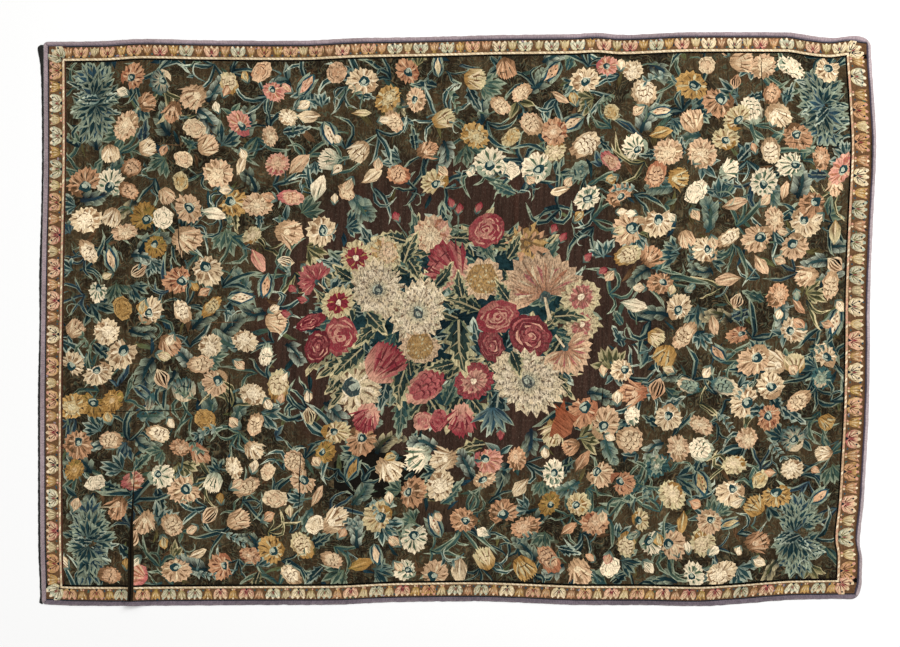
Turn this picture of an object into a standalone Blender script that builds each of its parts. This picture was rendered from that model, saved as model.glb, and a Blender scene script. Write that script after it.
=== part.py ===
"""Verdure tapestry, laid out flat: a woven wool sheet, the galloon sewn round it and its lining edge.

Metres, +Z up. X runs along the long side, the top of the weaving points to +Y, and the origin lies
under the middle of the sheet, on the surface that it rests on.
"""

import math
from typing import Callable, NamedTuple

import bpy

# ---- Driving dimensions ------------------------------------------------------------------------

WEAVE_THICK = 0.0022        # wool weft on its warp
GALLOON_THICK = 0.0015      # plain tape
LINING_THICK = 0.0010       # folded edge of the lining cloth
GALLOON_LONG = 0.0155       # width of the tape along the top and bottom
GALLOON_SIDE = 0.0150       # width of the tape at the left and right
SEAM_GAP = 0.0003           # clearance between two pieces
MITRE_GAP = 0.0003          # how far each tape stops short of its mitre
LINE_PITCH = 0.060          # spacing of the mesh lines where the sheet is flat
CORNER_LINES = (0.006, 0.022)   # further mesh lines this far from each end of an edge
LEVEL_GAP = 0.002           # the lining edge's own rows keep this far from the tape's rows


class Corner(NamedTuple):
    """A corner of the outline before it is rounded."""
    x: float
    y: float
    radius: float


class Bulge(NamedTuple):
    """How far an edge stands out from the straight line between its corners."""
    at: float       # distance from the start of the edge
    out: float


class Fold(NamedTuple):
    """A raised fold along a line from (x0, y0) to (x1, y1), highest at `peak` of its length."""
    x0: float
    y0: float
    x1: float
    y1: float
    height: float
    left: float     # reach of the slope at the left of the direction of travel
    right: float
    peak: float


class StripRow(NamedTuple):
    """Width of the lining edge at a height above the middle of the sheet."""
    y: float
    wide: float


BOTTOM_LEFT = Corner(x=-1.4050, y=-0.9660, radius=0.014)
BOTTOM_RIGHT = Corner(x=1.3590, y=-0.9470, radius=0.022)
TOP_RIGHT = Corner(x=1.4010, y=0.9510, radius=0.030)
TOP_LEFT = Corner(x=-1.3990, y=0.9380, radius=0.012)

TOP_BULGES = (
    Bulge(at=0.000, out=0.000), Bulge(at=0.180, out=0.001), Bulge(at=0.325, out=0.008),
    Bulge(at=0.560, out=0.003), Bulge(at=0.860, out=0.000), Bulge(at=1.060, out=0.008),
    Bulge(at=1.300, out=0.011), Bulge(at=1.540, out=0.016), Bulge(at=1.790, out=0.018),
    Bulge(at=1.870, out=0.022), Bulge(at=1.960, out=0.015), Bulge(at=2.200, out=0.023),
    Bulge(at=2.520, out=0.021), Bulge(at=2.600, out=0.008), Bulge(at=2.675, out=0.001),
    Bulge(at=2.740, out=0.008), Bulge(at=2.800, out=0.000),
)
BOTTOM_BULGES = (
    Bulge(at=0.000, out=0.000), Bulge(at=0.100, out=0.005), Bulge(at=0.290, out=0.007),
    Bulge(at=0.700, out=0.007), Bulge(at=0.970, out=0.008), Bulge(at=1.210, out=0.000),
    Bulge(at=1.450, out=-0.001), Bulge(at=1.680, out=0.008), Bulge(at=1.840, out=0.015),
    Bulge(at=2.020, out=0.016), Bulge(at=2.220, out=0.021), Bulge(at=2.350, out=0.015),
    Bulge(at=2.440, out=0.008), Bulge(at=2.560, out=0.001), Bulge(at=2.765, out=0.000),
)
LEFT_BULGES = (
    Bulge(at=0.000, out=0.000), Bulge(at=0.180, out=0.005), Bulge(at=0.360, out=0.007),
    Bulge(at=0.690, out=0.008), Bulge(at=0.930, out=0.006), Bulge(at=1.200, out=0.003),
    Bulge(at=1.540, out=-0.002), Bulge(at=1.904, out=0.000),
)
RIGHT_BULGES = (
    Bulge(at=0.000, out=0.000), Bulge(at=0.050, out=0.009), Bulge(at=0.130, out=0.010),
    Bulge(at=0.190, out=0.000), Bulge(at=0.320, out=0.010), Bulge(at=0.440, out=0.015),
    Bulge(at=0.680, out=0.021), Bulge(at=0.850, out=0.020), Bulge(at=1.010, out=0.017),
    Bulge(at=1.280, out=0.021), Bulge(at=1.520, out=0.027), Bulge(at=1.700, out=0.015),
    Bulge(at=1.898, out=0.000),
)

# The one strong pleat comes first: steep on its left, long and easy on its right.
FOLDS = (
    Fold(x0=-1.117, y0=-1.080, x1=-1.076, y1=0.020, height=0.0130, left=0.015, right=0.070,
         peak=0.12),
    Fold(x0=-0.940, y0=-0.060, x1=-0.930, y1=0.420, height=0.0040, left=0.060, right=0.055,
         peak=0.55),
    Fold(x0=-0.500, y0=-0.720, x1=-0.500, y1=-0.360, height=0.0035, left=0.060, right=0.050,
         peak=0.50),
    Fold(x0=1.265, y0=1.030, x1=0.960, y1=0.600, height=0.0060, left=0.080, right=0.070,
         peak=0.20),
    Fold(x0=-0.325, y0=-0.760, x1=-0.325, y1=-0.460, height=0.0030, left=0.045, right=0.050,
         peak=0.45),
    Fold(x0=-0.760, y0=-0.700, x1=-0.756, y1=-0.400, height=0.0030, left=0.050, right=0.045,
         peak=0.50),
    Fold(x0=0.500, y0=-0.370, x1=0.500, y1=-0.110, height=0.0030, left=0.050, right=0.050,
         peak=0.50),
    Fold(x0=0.955, y0=-0.880, x1=0.955, y1=-0.680, height=0.0025, left=0.045, right=0.045,
         peak=0.50),
)
PLEAT = FOLDS[0]
PLEAT_LINES = (-0.070, -0.030, -0.015, -0.010, -0.005, 0.000, 0.010, 0.022, 0.036, 0.052, 0.070)
PLEAT_HOLD = 0.30           # the mesh lines beside the pleat lean with it over this distance
RIPPLE_LINES = (1.140, 1.195, 1.235, 1.275, 1.315)

# Past the left tape: the lining's knob at the top, its narrow run and its tip at the foot.
LINING_ROWS = (
    StripRow(y=-0.9650, wide=0.0050), StripRow(y=-0.9610, wide=0.0120),
    StripRow(y=-0.9540, wide=0.0080), StripRow(y=-0.9400, wide=0.0062),
    StripRow(y=-0.9000, wide=0.0060), StripRow(y=-0.7800, wide=0.0075),
    StripRow(y=-0.5000, wide=0.0070), StripRow(y=-0.2700, wide=0.0075),
    StripRow(y=-0.0200, wide=0.0055), StripRow(y=0.1500, wide=0.0085),
    StripRow(y=0.3500, wide=0.0060), StripRow(y=0.6000, wide=0.0065),
    StripRow(y=0.7800, wide=0.0080), StripRow(y=0.8500, wide=0.0110),
    StripRow(y=0.8850, wide=0.0150), StripRow(y=0.9060, wide=0.0200),
    StripRow(y=0.9170, wide=0.0205), StripRow(y=0.9240, wide=0.0170),
    StripRow(y=0.9280, wide=0.0100),
)

Point = tuple[float, float, float]
Flat = tuple[float, float]
EdgeLine = Callable[[float], Flat]


# ---- Curves --------------------------------------------------------------------------------------

def smooth_table(places: list[float], values: list[float], at: float) -> float:
    """Value at a place, on a smooth curve that doesn't overshoot between the table's rows."""
    if at <= places[0]:
        return values[0]
    if at >= places[-1]:
        return values[-1]
    row = max(i for i, place in enumerate(places) if place <= at)

    def slope(i: int) -> float:
        if i <= 0 or i >= len(places) - 1:
            return 0.0
        before = (values[i] - values[i - 1]) / (places[i] - places[i - 1])
        after = (values[i + 1] - values[i]) / (places[i + 1] - places[i])
        if before * after <= 0.0:
            return 0.0
        return 2.0 * before * after / (before + after)

    span = places[row + 1] - places[row]
    t = (at - places[row]) / span
    start = (1.0 + 2.0 * t) * (1.0 - t) ** 2 * values[row]
    end = t * t * (3.0 - 2.0 * t) * values[row + 1]
    lean = t * (1.0 - t) ** 2 * slope(row) - t * t * (1.0 - t) * slope(row + 1)
    return start + end + span * lean


def edge_line(start: Corner, end: Corner, bulges: tuple[Bulge, ...], outward: Flat,
              start_inset: Flat, end_inset: Flat, rounded: bool) -> EdgeLine:
    """A curve from share 0 to 1 along one edge, its two ends moved inward by their insets."""
    first = (start.x + start_inset[0], start.y + start_inset[1])
    last = (end.x + end_inset[0], end.y + end_inset[1])
    length = math.dist(first, last)
    places = [bulge.at / bulges[-1].at for bulge in bulges]
    values = [bulge.out for bulge in bulges]
    half_turn = 1.0 - math.sqrt(0.5)
    start_skip = start.radius * half_turn / length if rounded else 0.0
    end_skip = end.radius * half_turn / length if rounded else 0.0

    def rounding(distance: float, radius: float) -> float:
        if not rounded or distance >= radius:
            return 0.0
        return radius - math.sqrt(radius ** 2 - (radius - distance) ** 2)

    def place(share: float) -> Flat:
        at = start_skip + (1.0 - start_skip - end_skip) * share
        out = smooth_table(places, values, at)
        out -= rounding(at * length, start.radius) + rounding((1.0 - at) * length, end.radius)
        return (first[0] + (last[0] - first[0]) * at + outward[0] * out,
                first[1] + (last[1] - first[1]) * at + outward[1] * out)

    return place


def boundary(side: float, long: float, rounded: bool) -> dict[str, EdgeLine]:
    """The four edges, moved inward by `side` at the left and right and `long` above and below."""
    low_left, low_right = (side, long), (-side, long)
    high_left, high_right = (side, -long), (-side, -long)
    return {
        "top": edge_line(TOP_LEFT, TOP_RIGHT, TOP_BULGES, (0.0, 1.0),
                         high_left, high_right, rounded),
        "bottom": edge_line(BOTTOM_LEFT, BOTTOM_RIGHT, BOTTOM_BULGES, (0.0, -1.0),
                            low_left, low_right, rounded),
        "left": edge_line(BOTTOM_LEFT, TOP_LEFT, LEFT_BULGES, (-1.0, 0.0),
                          low_left, high_left, rounded),
        "right": edge_line(BOTTOM_RIGHT, TOP_RIGHT, RIGHT_BULGES, (1.0, 0.0),
                           low_right, high_right, rounded),
    }


def patch_point(edges: dict[str, EdgeLine], s: float, t: float) -> Flat:
    """Place in the sheet at shares s across and t up, blended from its four edges."""
    low, high = edges["bottom"](s), edges["top"](s)
    west, east = edges["left"](t), edges["right"](t)
    corners = {key: edges[key[0]](key[1]) for key in
               (("bottom", 0.0), ("bottom", 1.0), ("top", 0.0), ("top", 1.0))}

    def blended(axis: int) -> float:
        ruled = (1 - t) * low[axis] + t * high[axis] + (1 - s) * west[axis] + s * east[axis]
        flat = ((1 - s) * (1 - t) * corners["bottom", 0.0][axis]
                + s * (1 - t) * corners["bottom", 1.0][axis]
                + (1 - s) * t * corners["top", 0.0][axis]
                + s * t * corners["top", 1.0][axis])
        return ruled - flat

    return blended(0), blended(1)


# ---- Folds ---------------------------------------------------------------------------------------

def soft_step(t: float) -> float:
    """0 to 1 with level ends."""
    t = min(1.0, max(0.0, t))
    return t * t * (3.0 - 2.0 * t)


def fold_height(fold: Fold, x: float, y: float) -> float:
    """How far one fold lifts the cloth at a place."""
    length = math.hypot(fold.x1 - fold.x0, fold.y1 - fold.y0)
    along = ((fold.x1 - fold.x0) / length, (fold.y1 - fold.y0) / length)
    share = ((x - fold.x0) * along[0] + (y - fold.y0) * along[1]) / length
    side = (x - fold.x0) * along[1] - (y - fold.y0) * along[0]
    reach = fold.right if side > 0.0 else fold.left
    if not 0.0 < share < 1.0 or abs(side) >= reach:
        return 0.0
    rise = soft_step(share / fold.peak) * soft_step((1.0 - share) / (1.0 - fold.peak))
    return fold.height * rise * soft_step(1.0 - abs(side) / reach)


def lift(x: float, y: float) -> float:
    """Height of the cloth's underside above the surface."""
    return max(fold_height(fold, x, y) for fold in FOLDS)


# ---- Mesh lines ----------------------------------------------------------------------------------

def even_values(start: float, end: float, pitch: float) -> list[float]:
    """Evenly spread values from start to end, about a pitch apart."""
    count = max(1, round((end - start) / pitch))
    return [start + (end - start) * i / count for i in range(count + 1)]


def pleat_x(y: float) -> float:
    """Where the pleat's ridge stands at a height."""
    return PLEAT.x0 + (PLEAT.x1 - PLEAT.x0) * (y - PLEAT.y0) / (PLEAT.y1 - PLEAT.y0)


def column_shares(edges: dict[str, EdgeLine]) -> list[float]:
    """Shares across the sheet, with lines on every fold and even steps where it is flat."""
    left, right = edges["top"](0.0)[0], edges["top"](1.0)[0]
    ridge = pleat_x(0.0)
    lines = [left, right, *RIPPLE_LINES]
    lines += [left + step for step in CORNER_LINES] + [right - step for step in CORNER_LINES]
    lines += [ridge + offset for offset in PLEAT_LINES]
    for fold in FOLDS[1:]:
        middle = 0.5 * (fold.x0 + fold.x1)
        if abs(fold.x1 - fold.x0) < fold.left:
            lines += [middle - fold.left, middle - 0.5 * fold.left, middle,
                      middle + 0.5 * fold.right, middle + fold.right]
    lines.sort()
    places: list[float] = []
    for before, after in zip(lines, lines[1:]):
        places += even_values(before, after, LINE_PITCH)[:-1]
    places.append(right)
    return [(place - left) / (right - left) for place in places]


def row_shares() -> list[float]:
    """Shares up the sheet."""
    tall = TOP_LEFT.y - BOTTOM_LEFT.y
    places = [0.0] + list(CORNER_LINES[:-1])
    places += even_values(CORNER_LINES[-1], tall - CORNER_LINES[-1], LINE_PITCH)
    places += [tall - step for step in reversed(CORNER_LINES[:-1])] + [tall]
    return [place / tall for place in places]


def leaning_share(edges: dict[str, EdgeLine], s: float, t: float) -> float:
    """A column's share at a height, so that the columns near the pleat follow its ridge."""
    x, y = patch_point(edges, s, t)
    distance = abs(x - pleat_x(y))
    hold = soft_step(1.0 - distance / PLEAT_HOLD)
    width = edges["top"](1.0)[0] - edges["top"](0.0)[0]
    ridge_share = (pleat_x(0.0) - edges["top"](0.0)[0]) / width
    ridge_here = patch_point(edges, ridge_share, t)[0]
    shift = (pleat_x(y) - ridge_here) / width
    return s + shift * hold if 0.0 < s < 1.0 else s


# ---- Solids --------------------------------------------------------------------------------------

def cloth_solid(name: str, rows: list[list[Flat]], thick: float) -> bpy.types.Object:
    """A closed sheet over a grid of places, lifted by the folds, its outside facing out."""
    tall, wide = len(rows), len(rows[0])
    lower: list[Point] = [(x, y, lift(x, y)) for row in rows for x, y in row]
    upper: list[Point] = [(x, y, z + thick) for x, y, z in lower]
    top_start = tall * wide
    faces: list[tuple[int, ...]] = []
    for r in range(tall - 1):
        for c in range(wide - 1):
            a, b = r * wide + c, r * wide + c + 1
            d, e = a + wide, b + wide
            faces += [(top_start + a, top_start + b, top_start + e), (a, e, b)]
            faces += [(top_start + a, top_start + e, top_start + d), (a, d, e)]
    south = [c for c in range(wide)]
    east = [r * wide + wide - 1 for r in range(tall)]
    north = [(tall - 1) * wide + c for c in reversed(range(wide))]
    west = [r * wide for r in reversed(range(tall))]
    rim = south[:-1] + east[:-1] + north[:-1] + west[:-1]
    for i, a in enumerate(rim):
        b = rim[(i + 1) % len(rim)]
        faces += [(a, b, top_start + b), (a, top_start + b, top_start + a)]
    mesh = bpy.data.meshes.new(name)
    mesh.from_pydata(lower + upper, [], faces)
    mesh.validate()
    solid = bpy.data.objects.new(name, mesh)
    bpy.context.collection.objects.link(solid)
    return solid


def dress(solid: bpy.types.Object, colour: tuple[float, float, float], roughness: float) -> None:
    """Give a solid its own plain material."""
    material = bpy.data.materials.new(solid.name + "_wool")
    material.use_nodes = True
    shader = material.node_tree.nodes["Principled BSDF"]
    shader.inputs["Base Color"].default_value = (*colour, 1.0)
    shader.inputs["Roughness"].default_value = roughness
    shader.inputs["Metallic"].default_value = 0.0
    solid.data.materials.append(material)


def make_tapestry(edges: dict[str, EdgeLine], columns: list[float], heights: list[float]) -> None:
    """The woven sheet: field, guard line and border in one piece of weaving."""
    rows = [[patch_point(edges, leaning_share(edges, s, t), t) for s in columns] for t in heights]
    dress(cloth_solid("tapestry", rows, WEAVE_THICK), (0.090, 0.070, 0.052), 0.92)


def strip_rows(inner: list[Flat], outer: list[Flat]) -> list[list[Flat]]:
    """Rows of a tape between two lines of points, with its ends pulled back from the mitres."""
    middle = [((a[0] + b[0]) / 2, (a[1] + b[1]) / 2) for a, b in zip(inner, outer)]
    rows = [list(inner), middle, list(outer)]
    for row in rows:
        for end, beside in ((0, 1), (-1, -2)):
            run = math.dist(row[end], row[beside])
            share = MITRE_GAP / run
            row[end] = (row[end][0] + (row[beside][0] - row[end][0]) * share,
                        row[end][1] + (row[beside][1] - row[end][1]) * share)
    return rows


def make_galloons(columns: list[float], heights: list[float]) -> None:
    """Four lengths of tape round the sheet, each from the woven edge to the outline."""
    woven = boundary(GALLOON_SIDE, GALLOON_LONG, rounded=False)
    inner = boundary(GALLOON_SIDE - SEAM_GAP, GALLOON_LONG - SEAM_GAP, rounded=False)
    outer = boundary(0.0, 0.0, rounded=True)

    def tape(side: str) -> list[list[Flat]]:
        shares = heights
        if side in ("top", "bottom"):
            shares = [leaning_share(woven, s, 1.0 if side == "top" else 0.0) for s in columns]
        return strip_rows([inner[side](share) for share in shares],
                          [outer[side](share) for share in shares])

    tapes = {
        "galloon_top": (tape("top"), (0.330, 0.270, 0.290)),
        "galloon_bottom": (tape("bottom")[::-1], (0.260, 0.215, 0.260)),
        "galloon_left": (tape("left"), (0.350, 0.300, 0.330)),
        "galloon_right": (tape("right")[::-1], (0.200, 0.170, 0.210)),
    }
    for name, (rows, colour) in tapes.items():
        dress(cloth_solid(name, rows, GALLOON_THICK), colour, 0.88)


def straight_x(points: list[Flat], y: float) -> float:
    """Where the straight runs between upward points stand at a height."""
    for (x0, y0), (x1, y1) in zip(points, points[1:]):
        if y <= y1:
            return x0 + (x1 - x0) * (max(y, y0) - y0) / (y1 - y0)
    return points[-1][0]


def make_lining_edge(heights: list[float]) -> None:
    """The narrow run of lining past the left tape, with its knob at the top and tip at the foot."""
    outline = boundary(0.0, 0.0, rounded=True)["left"]
    tape_edge = [outline(share) for share in heights]
    places = [row.y for row in LINING_ROWS]
    widths = [row.wide for row in LINING_ROWS]
    levels = [y for x, y in tape_edge if places[0] < y < places[-1]]
    levels += [y for y in places if min(abs(y - level) for level in levels) > LEVEL_GAP]
    rows: list[list[Flat]] = []
    for y in sorted(levels):
        near = straight_x(tape_edge, y) - SEAM_GAP
        rows.append([(near - smooth_table(places, widths, y), y), (near, y)])
    dress(cloth_solid("lining_edge", rows, LINING_THICK), (0.018, 0.018, 0.017), 0.95)


def main() -> None:
    """Build every piece of the tapestry."""
    for old in list(bpy.data.objects):
        bpy.data.objects.remove(old, do_unlink=True)
    woven = boundary(GALLOON_SIDE, GALLOON_LONG, rounded=False)
    columns = column_shares(woven)
    heights = row_shares()
    make_tapestry(woven, columns, heights)
    make_galloons(columns, heights)
    make_lining_edge(heights)


main()
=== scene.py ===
"""Looks of a verdure tapestry lying flat: its weaving, galloon, dark strip past the left tape,
light and camera.

The weaving is drawn motif by motif as shapes of dyed weft in the flat, in painter's order. The
shapes are then merged into one sheet of cloth, which is laid out on the frame's outline and folds.
"""

import logging
import math
import random
from collections.abc import Callable, Iterable, Sequence
from dataclasses import dataclass, field
from enum import Enum

import bpy
import numpy as np
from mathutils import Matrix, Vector
from mathutils.bvhtree import BVHTree
from mathutils.geometry import delaunay_2d_cdt


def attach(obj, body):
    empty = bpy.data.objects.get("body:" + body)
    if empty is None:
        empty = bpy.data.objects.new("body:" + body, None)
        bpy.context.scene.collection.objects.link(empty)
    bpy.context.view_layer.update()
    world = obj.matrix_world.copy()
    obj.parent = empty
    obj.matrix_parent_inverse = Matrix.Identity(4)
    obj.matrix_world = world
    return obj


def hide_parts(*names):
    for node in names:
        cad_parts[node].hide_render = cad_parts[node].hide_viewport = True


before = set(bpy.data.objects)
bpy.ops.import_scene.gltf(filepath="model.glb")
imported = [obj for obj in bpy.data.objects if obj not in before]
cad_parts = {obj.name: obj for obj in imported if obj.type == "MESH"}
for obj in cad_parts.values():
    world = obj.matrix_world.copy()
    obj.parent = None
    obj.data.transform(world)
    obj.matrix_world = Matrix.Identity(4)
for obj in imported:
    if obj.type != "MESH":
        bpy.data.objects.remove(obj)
log = logging.getLogger("tapestry")

TURN = 2.0 * math.pi
GOLDEN_TURN = 2.39996       # from one seed of a full round to the next

Flat = tuple[float, float]
Tint = tuple[float, float, float]


class Wool(Enum):
    """The dyed wools, as the eye sees them in daylight, 0 to 255."""

    NIGHT = (18, 16, 13)
    UMBER = (40, 32, 22)
    WALNUT = (78, 60, 42)
    FOX = (84, 50, 38)
    PLUM = (48, 38, 32)
    BARK = (112, 82, 56)
    MADDER = (98, 28, 38)
    CRIMSON = (134, 44, 54)
    ROSE = (168, 92, 88)
    BLUSH = (206, 152, 128)
    SALMON = (188, 142, 106)
    CORAL = (156, 100, 72)
    PEACH = (206, 170, 134)
    CREAM = (218, 194, 156)
    IVORY = (238, 218, 184)
    STRAW = (196, 180, 138)
    GOLD = (182, 144, 88)
    OCHRE = (152, 114, 62)
    MUSTARD = (140, 116, 58)
    OLIVE = (98, 96, 56)
    DEEP = (18, 32, 38)
    TEAL = (38, 66, 68)
    SEA = (56, 86, 84)
    SAGE = (76, 92, 70)
    MIST = (144, 152, 128)
    ICE = (176, 182, 160)
    BLUE = (44, 74, 86)
    RUST = (132, 62, 36)
    NAVY = (32, 40, 48)
    FAWN = (164, 132, 98)
    LILAC = (150, 132, 138)

    @property
    def tint(self) -> Tint:
        """The wool's colour in linear light."""
        return linear(tuple(part / 255.0 for part in self.value))


def linear(shown: Sequence[float]) -> Tint:
    """A colour as seen, turned into linear light.

    Args:
        shown: red, green and blue, 0 to 1.
    Returns:
        The same colour in linear light.
    """
    return tuple(c / 12.92 if c <= 0.04045 else ((c + 0.055) / 1.055) ** 2.4 for c in shown)


(NIGHT, UMBER, WALNUT, FOX, PLUM, BARK, MADDER, CRIMSON, ROSE, BLUSH, SALMON, CORAL, PEACH, CREAM,
 IVORY, STRAW, GOLD, OCHRE, MUSTARD, OLIVE, DEEP, TEAL, SEA, SAGE, MIST, ICE, BLUE, RUST, NAVY,
 FAWN, LILAC) = Wool


# ---- The flat drawing ----


@dataclass
class Shape:
    """One shape of weft in the flat.

    The colour runs from `root` at the axis's start to `tip` at its end. `polar` shapes run outward
    from the axis's start instead. `streak` is how strongly the threads' hatching shows, and
    `fret` how worn through the wool is.
    """

    points: list[Flat]
    root: Tint
    tip: Tint
    start: Flat
    end: Flat
    polar: bool
    streak: float
    fret: float


@dataclass
class Drawing:
    """The shapes of the weaving, in painter's order. `sway` is how far a line wavers, in metres."""

    sway: float = 0.0
    shapes: list[Shape] = field(default_factory=list)

    def wavered(self, x: float, y: float) -> Flat:
        """Where the weaver's hand puts a point of the drawing.

        Args:
            x: the point's place along X.
            y: and along Y.
        Returns:
            The point, moved.
        """
        return (x + self.sway * (math.sin(172 * y + 1.8 * math.sin(57 * x))
                                 + 0.5 * math.sin(263 * x + 91 * y)),
                y + self.sway * (math.sin(181 * x + 1.8 * math.sin(63 * y))
                                 + 0.5 * math.sin(247 * y - 87 * x)))

    def add(self, shape: Shape) -> None:
        """Put one more shape on top.

        Args:
            shape: the shape, whose points are moved.
        """
        if self.sway:
            shape.points = [self.wavered(x, y) for x, y in shape.points]
        self.shapes.append(shape)


@dataclass(frozen=True)
class Pen:
    """A place in the drawing at which shapes are put down, with its own axes and shade."""

    drawing: Drawing
    x: float = 0.0
    y: float = 0.0
    along: Flat = (1.0, 0.0)
    across: Flat = (0.0, 1.0)
    shade: float = 1.0
    fret: float = 0.0

    def place(self, x: float, y: float) -> Flat:
        """A point of the pen's own frame, in the drawing."""
        return (self.x + x * self.along[0] + y * self.across[0],
                self.y + x * self.along[1] + y * self.across[1])

    def at(self, x: float, y: float, turn: float = 0.0, size: float = 1.0,
           squash: float = 1.0, shade: float = 1.0, fret: float | None = None) -> "Pen":
        """A pen placed and turned in this one's frame.

        Args:
            x: its place along this pen's axis.
            y: its place across.
            turn: its turn.
            size: its size in this pen's units.
            squash: how wide it is, as a share of its length.
            shade: lighter above 1, darker below.
            fret: how worn what it draws is, or None for this pen's.
        Returns:
            The new pen.
        """
        c, s = math.cos(turn) * size, math.sin(turn) * size
        (ax, ay), (bx, by) = self.along, self.across
        return Pen(self.drawing, *self.place(x, y), (c * ax + s * bx, c * ay + s * by),
                   (squash * (c * bx - s * ax), squash * (c * by - s * ay)),
                   self.shade * shade, self.fret if fret is None else fret)

    def fill(self, points: Iterable[Flat], root: Wool, tip: Wool | None = None,
             start: Flat = (0.0, 0.0), end: Flat = (1.0, 0.0), polar: bool = False,
             streak: float = 0.5, shade: float = 1.0) -> None:
        """Put down one closed shape.

        Args:
            points: its outline in the pen's frame.
            root: the wool at the start of its axis.
            tip: the wool at the end of its axis, or None for the same.
            start: where the axis starts.
            end: where the axis ends.
            polar: whether the colour runs outward from the start.
            streak: how strongly the hatching shows.
            shade: lighter above 1, darker below.
        """
        light = self.shade * shade
        first = tuple(c * light for c in root.tint)
        last = tuple(c * light for c in (tip or root).tint)
        self.drawing.add(Shape([self.place(x, y) for x, y in points], first, last,
                               self.place(*start), self.place(*end), polar, streak, self.fret))


def leaf_outline(length: float, width: float, steps: int = 3, belly: float = 0.45,
                 bend: float = 0.0) -> list[Flat]:
    """The outline of a petal or plain leaf from (0, 0) along +X, pointed at both ends.

    Args:
        length: from root to tip.
        width: across the widest part.
        steps: points on each side.
        belly: share of the length at which it is widest.
        bend: how far the tip bends sideways.
    Returns:
        The outline's points.
    """
    right: list[Flat] = []
    left: list[Flat] = []
    power = math.log(0.5) / math.log(belly)
    for i in range(1, steps + 1):
        t = i / (steps + 1)
        half = 0.5 * width * math.sin(math.pi * t ** power)
        right.append((length * t, bend * t * t - half))
        left.append((length * t, bend * t * t + half))
    return [(0.0, 0.0)] + right + [(length, bend)] + left[::-1]


def ribbon_outline(path: Sequence[Flat], widths: Sequence[float]) -> list[Flat]:
    """The outline of a band of changing width along a path.

    Args:
        path: the middle of the band, point by point.
        widths: the band's width at each point; 0 at an end makes it pointed.
    Returns:
        The outline's points.
    """
    left: list[Flat] = []
    right: list[Flat] = []
    last = len(path) - 1
    for i, (x, y) in enumerate(path):
        ax, ay = path[max(0, i - 1)]
        bx, by = path[min(last, i + 1)]
        run = math.hypot(bx - ax, by - ay) or 1.0
        nx, ny = -(by - ay) / run, (bx - ax) / run
        half = 0.5 * widths[i]
        left.append((x + nx * half, y + ny * half))
        right.append((x - nx * half, y - ny * half))
    if widths[-1] <= 0.0:
        right.pop()
    if widths[0] <= 0.0:
        right.pop(0)
    return left + right[::-1]


def curl_path(length: float, bend: float, steps: int, twist: float = 0.0) -> list[Flat]:
    """A path from the origin along +X that turns by `bend` in all and winds by `twist`.

    Args:
        length: its length.
        bend: the turn from end to end.
        steps: how many straight runs it has.
        twist: how far its heading winds to both sides.
    Returns:
        Its points.
    """
    path = [(0.0, 0.0)]
    for i in range(steps):
        share = (i + 0.5) / steps
        heading = bend * share + twist * math.sin(TURN * share)
        (x, y), run = path[-1], length / steps
        path.append((x + run * math.cos(heading), y + run * math.sin(heading)))
    return path


# ---- Flowers ----


@dataclass(frozen=True)
class Bloom:
    """The wools of one flower, from its outer petals in to its eye."""

    outer: Wool
    middle: Wool
    inner: Wool
    line: Wool
    eye: Wool = TEAL


CREAMY = Bloom(CREAM, IVORY, FAWN, BARK)
BUTTERY = Bloom(STRAW, CREAM, OCHRE, BARK)
PEACHY = Bloom(PEACH, CREAM, FAWN, BARK)
TAWNY = Bloom(SALMON, PEACH, BARK, WALNUT)
ROSY = Bloom(SALMON, PEACH, CORAL, FOX)
GOLDEN = Bloom(GOLD, STRAW, OCHRE, WALNUT)
OCHREOUS = Bloom(OCHRE, GOLD, MUSTARD, WALNUT)
PINK = Bloom(BLUSH, PEACH, ROSE, CORAL)
PALE = Bloom(IVORY, IVORY, MIST, SAGE)
BLUEISH = Bloom(SEA, MIST, CREAM, DEEP)
CRIMSONY = Bloom(CRIMSON, ROSE, BLUSH, MADDER)      # this and those below grow in the posy
RED_PINK = Bloom(ROSE, BLUSH, CRIMSON, CRIMSON)
BLUSHING = Bloom(PEACH, CREAM, ROSE, CORAL)
FAWNY = Bloom(PEACH, CREAM, BLUSH, CORAL)
STRAWY = Bloom(CREAM, IVORY, STRAW, BARK)
GREYISH = Bloom(CREAM, IVORY, MIST, BARK)
AMBERY = Bloom(SALMON, GOLD, OCHRE, WALNUT)
MUSTARDY = Bloom(STRAW, PEACH, GOLD, OCHRE)
YELLOWY = Bloom(STRAW, GOLD, CRIMSON, MADDER)
RUFFED = Bloom(STRAW, BLUSH, ROSE, BARK)

DARK_LINES = (BARK, WALNUT, FOX, MADDER, DEEP, OLIVE)
ROUND_PETAL = ((-0.9, 0.0), (-0.5, -0.8), (0.2, -1.0), (0.8, -0.7), (1.05, 0.0), (0.8, 0.7),
               (0.2, 1.0), (-0.5, 0.8))


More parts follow.
